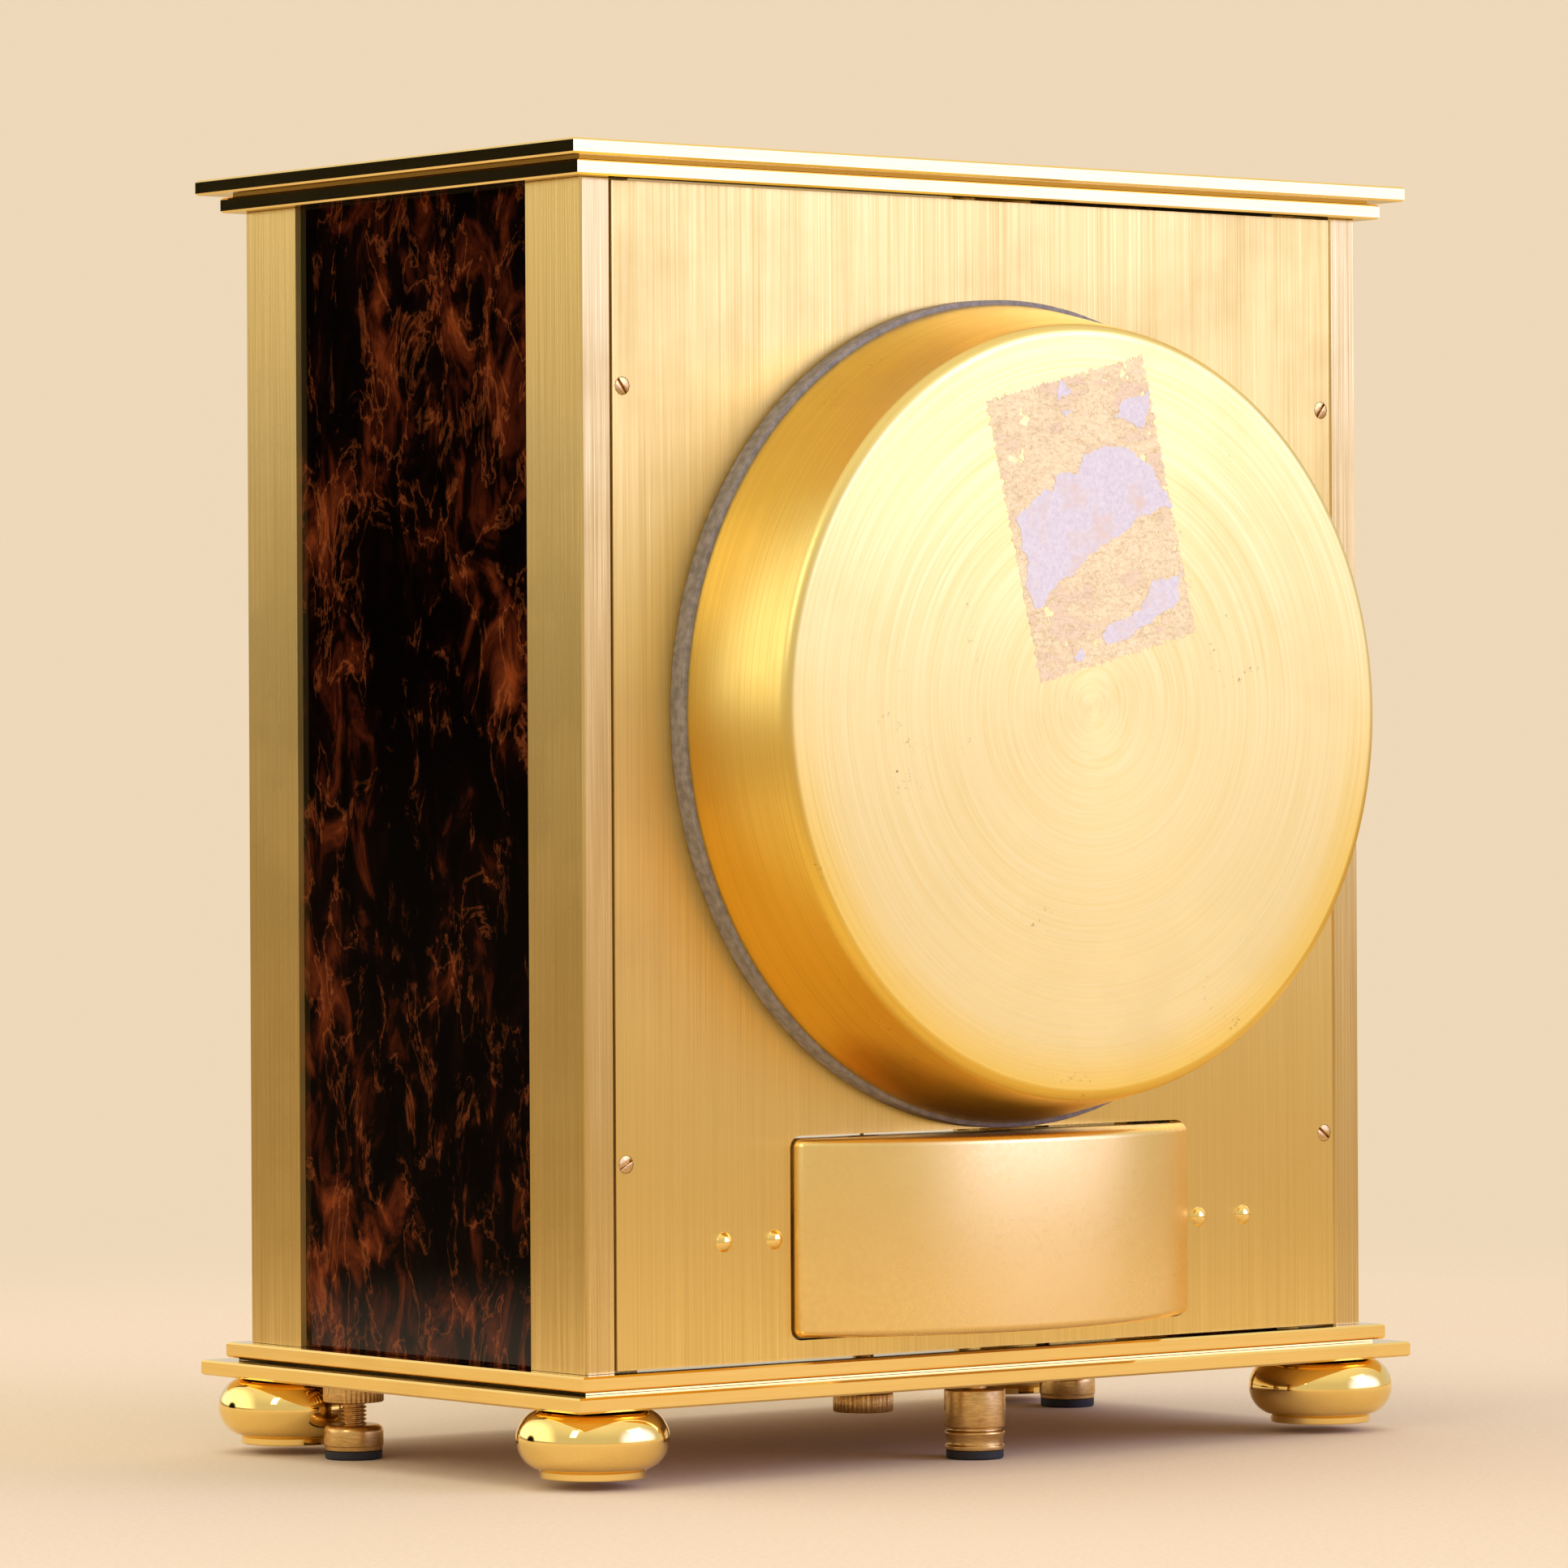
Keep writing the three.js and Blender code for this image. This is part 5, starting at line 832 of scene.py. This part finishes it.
patchy = mixed(tree, ramp(tree, bare, 0.54, 0.60), gold, peach)
dotted = mixed(tree, ramp(tree, crinkle, 0.0, 0.022, 0.55, 0.0), patchy, (0.50, 0.31, 0.09))
tree.links.new(dotted, surface.inputs["Base Color"])
tree.links.new(ramp(tree, crumbs, 0.3, 0.7, 0.35, 0.75), surface.inputs["Roughness"])
tree.links.new(ramp(tree, bare, 0.50, 0.56, 0.45, 0.0), surface.inputs["Metallic"])
emboss(tree, surface, crumbs, 0.5, 0.1)
film_place = Vector((drum_middle.x - 0.4 * mm, face_level, drum_middle.z + 33.4 * mm))
film_frame = Matrix.Rotation(film_turn, 4, "Y") @ Matrix(((-1, 0, 0), (0, 0, 1), (0, 1, 0))).to_4x4()
set_down(film, *film_place, film_frame)
make_piece("glue_film", film, glue, "satin_brass", "case", sharp=60)
scraps = {
    "middle": [(5.5, 11.1), (10.0, 10.4), (15.5, 5.2), (18.3, -2.3), (11.6, -2.0), (5.6, -4.2), (-0.9, -5.6),
               (-5.1, -7.8), (-10.9, -9.7), (-15.7, -12.5), (-17.4, -9.5), (-16.1, -4.0), (-16.6, 3.3),
               (-12.2, 6.2), (-7.7, 6.7), (-6.1, 9.0), (-1.0, 8.4), (1.0, 10.9)],
    "upper": [(11.5, 18.1), (15.0, 18.0), (18.1, 18.2), (16.5, 14.4), (15.0, 12.2), (12.5, 14.0),
              (9.5, 15.7)],
    "top": [(-1.2, 24.7), (1.4, 22.1), (-2.2, 21.3)],
    "lower": [(17.9, -13.4), (14.0, -14.2), (10.7, -13.5), (9.2, -15.7), (5.0, -18.0), (-1.5, -19.1),
              (-2.8, -20.7), (-1.5, -22.0), (3.9, -21.6), (10.1, -19.8), (15.1, -19.0), (16.1, -16.0)],
    "small": [(-7.9, -21.5), (-6.9, -22.6), (-9.3, -23.4), (-10.0, -22.6)],
    "crumb": [(-2.5, 19.5), (-0.1, 18.9), (-1.6, 18.3)],
}
torn = []
for number, outline in enumerate(scraps.values()):
    scrap = bmesh.new()
    rim = [scrap.verts.new((x * mm, y * mm, 0)) for x, y in outline]
    for ends in zip(rim, rim[1:] + rim[:1]):
        scrap.edges.new(ends)
    for cuts, pitch, stray in ((2, 0.5, 0.9), (2, 1.4, 0.55), (1, 3.4, 0.25)):
        bmesh.ops.subdivide_edges(scrap, edges=scrap.edges[:], cuts=cuts)
        for vertex in scrap.verts:
            place = Vector((vertex.co.x / mm, vertex.co.y / mm, 7 + number)) * pitch
            pull = Vector((noise.noise(place), noise.noise(place + Vector((0, 0, 20))), 0))
            vertex.co += pull * stray * mm
    bmesh.ops.triangle_fill(scrap, edges=scrap.edges[:], use_beauty=True, normal=(0, 0, 1))
    pull_up(scrap, 0.11)
    torn.append(scrap)
label_paper, tree, surface, spot = start_material("torn_paper", Roughness=0.8, Specular_IOR_Level=0.2)
pulp = speckle(tree, spot, 1400.0, 5.0, 0.7)
thin = speckle(tree, spot, 160.0, 6.0, 0.65)
fibres = mixed(tree, ramp(tree, pulp, 0.3, 0.7), (0.72, 0.66, 0.69), (0.90, 0.85, 0.84))
yellowed = mixed(tree, ramp(tree, thin, 0.52, 0.70, 0.0, 0.8), fibres, (0.86, 0.66, 0.50))
tree.links.new(yellowed, surface.inputs["Base Color"])
emboss(tree, surface, pulp, 0.4, 0.05)
make_piece("torn_scraps", set_down(assemble(*torn), *film_place, film_frame), label_paper, "satin_brass",
           "case", sharp=60)

# Balance cover. Brass sheet pressed into a bowed box with soft edges, open inside, which gives the
# balance room to swing. It comes out through the panel, and two tabs behind it take the rivets.
low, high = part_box("balance_cover")
tab_thickness, bow_rise = 1.0, 14.5 * mm
inner_face = low.y + tab_thickness * mm
bow_radius = (cover_half ** 2 + bow_rise ** 2) / (2 * bow_rise)
shell = bmesh.new()
bmesh.ops.create_grid(shell, x_segments=64, y_segments=1, size=0.5,
                      matrix=Matrix.Diagonal((2 * cover_half, high.z - low.z, 1, 1)))
set_down(shell, cover_x, 0, cover_middle.z, towards_front)
for vertex in shell.verts:
    vertex.co.y = high.y - bow_radius + (bow_radius ** 2 - (vertex.co.x - cover_x) ** 2) ** 0.5
walls = bmesh.ops.extrude_edge_only(shell, edges=[edge for edge in shell.edges if edge.is_boundary])["geom"]
for vertex in (item for item in walls if isinstance(item, bmesh.types.BMVert)):
    vertex.co.y = inner_face
bmesh.ops.recalc_face_normals(shell, faces=shell.faces)
round_edges(shell, 1.7, segments=7, sharpest=25)
for face in shell.faces:
    face.normal_update()
bmesh.ops.recalc_face_normals(shell, faces=shell.faces)
if sum(face.normal.y * face.calc_area() for face in shell.faces) < 0:
    bmesh.ops.reverse_faces(shell, faces=shell.faces)
bmesh.ops.solidify(shell, geom=shell.faces[:], thickness=0.9 * mm)
tabs = []
for side in (-1, 1):
    tab = block(17.5, tab_thickness, 9, rounding=0.2)
    tabs.append(set_down(tab, cover_x + side * (cover_half + 8.0 * mm), low.y + tab_thickness / 2 * mm,
                         cover_middle.z))
cover_brass = metal("pressed_cover", (0.98, 0.71, 0.28), (0.88, 0.62, 0.21), 0.30, (900, 900, 900),
                    contrast=0.7, groove=0.10, stain=0.3, stain_size=0.02)
make_piece("pressed_balance_cover", assemble(shell, *tabs), cover_brass, "satin_brass", "case",
           "balance_cover", sharp=50)

# Front door. A brass frame with a rebate for its pane, linished and lacquered, turning on two pins in its
# left edge. A small turned knob opens it. The pane is plain polished glass.
door_brass = metal("linished_door", (0.97, 0.75, 0.33), (0.80, 0.57, 0.20), 0.30, (3400, 3400, 20),
                   contrast=0.8, groove=0.12, stain=0.12, brushed=0.7)
dress(door_brass, "door_frame")
at = middle_of("door_knob")
knob_profile = [(0, 0), (2.4, 0), (2.4, 0.75), (1.6, 1.4), (1.5, 2.1), *arc(2.4, 3.0, 1.0, -70, 0, 6),
                *arc(2.4, 4.0, 1.0, 0, 90, 8), (0, 5.0)]
door_knob = set_down(turned(knob_profile, 64), at.x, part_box("door_knob")[1].y, at.z, towards_front)
make_piece("turned_door_knob", door_knob, mirror_brass, "polished_brass", "door", "door_knob")
pane, tree, surface, spot = start_material("polished_pane", Base_Color=(0.72, 0.80, 0.77, 1), IOR=2.0,
                                           Alpha=0.07)
haze = speckle(tree, spot, 40.0, 4.0)
tree.links.new(ramp(tree, haze, 0.35, 0.75, 0.01, 0.05), surface.inputs["Roughness"])
dress(pane, "door_glass")
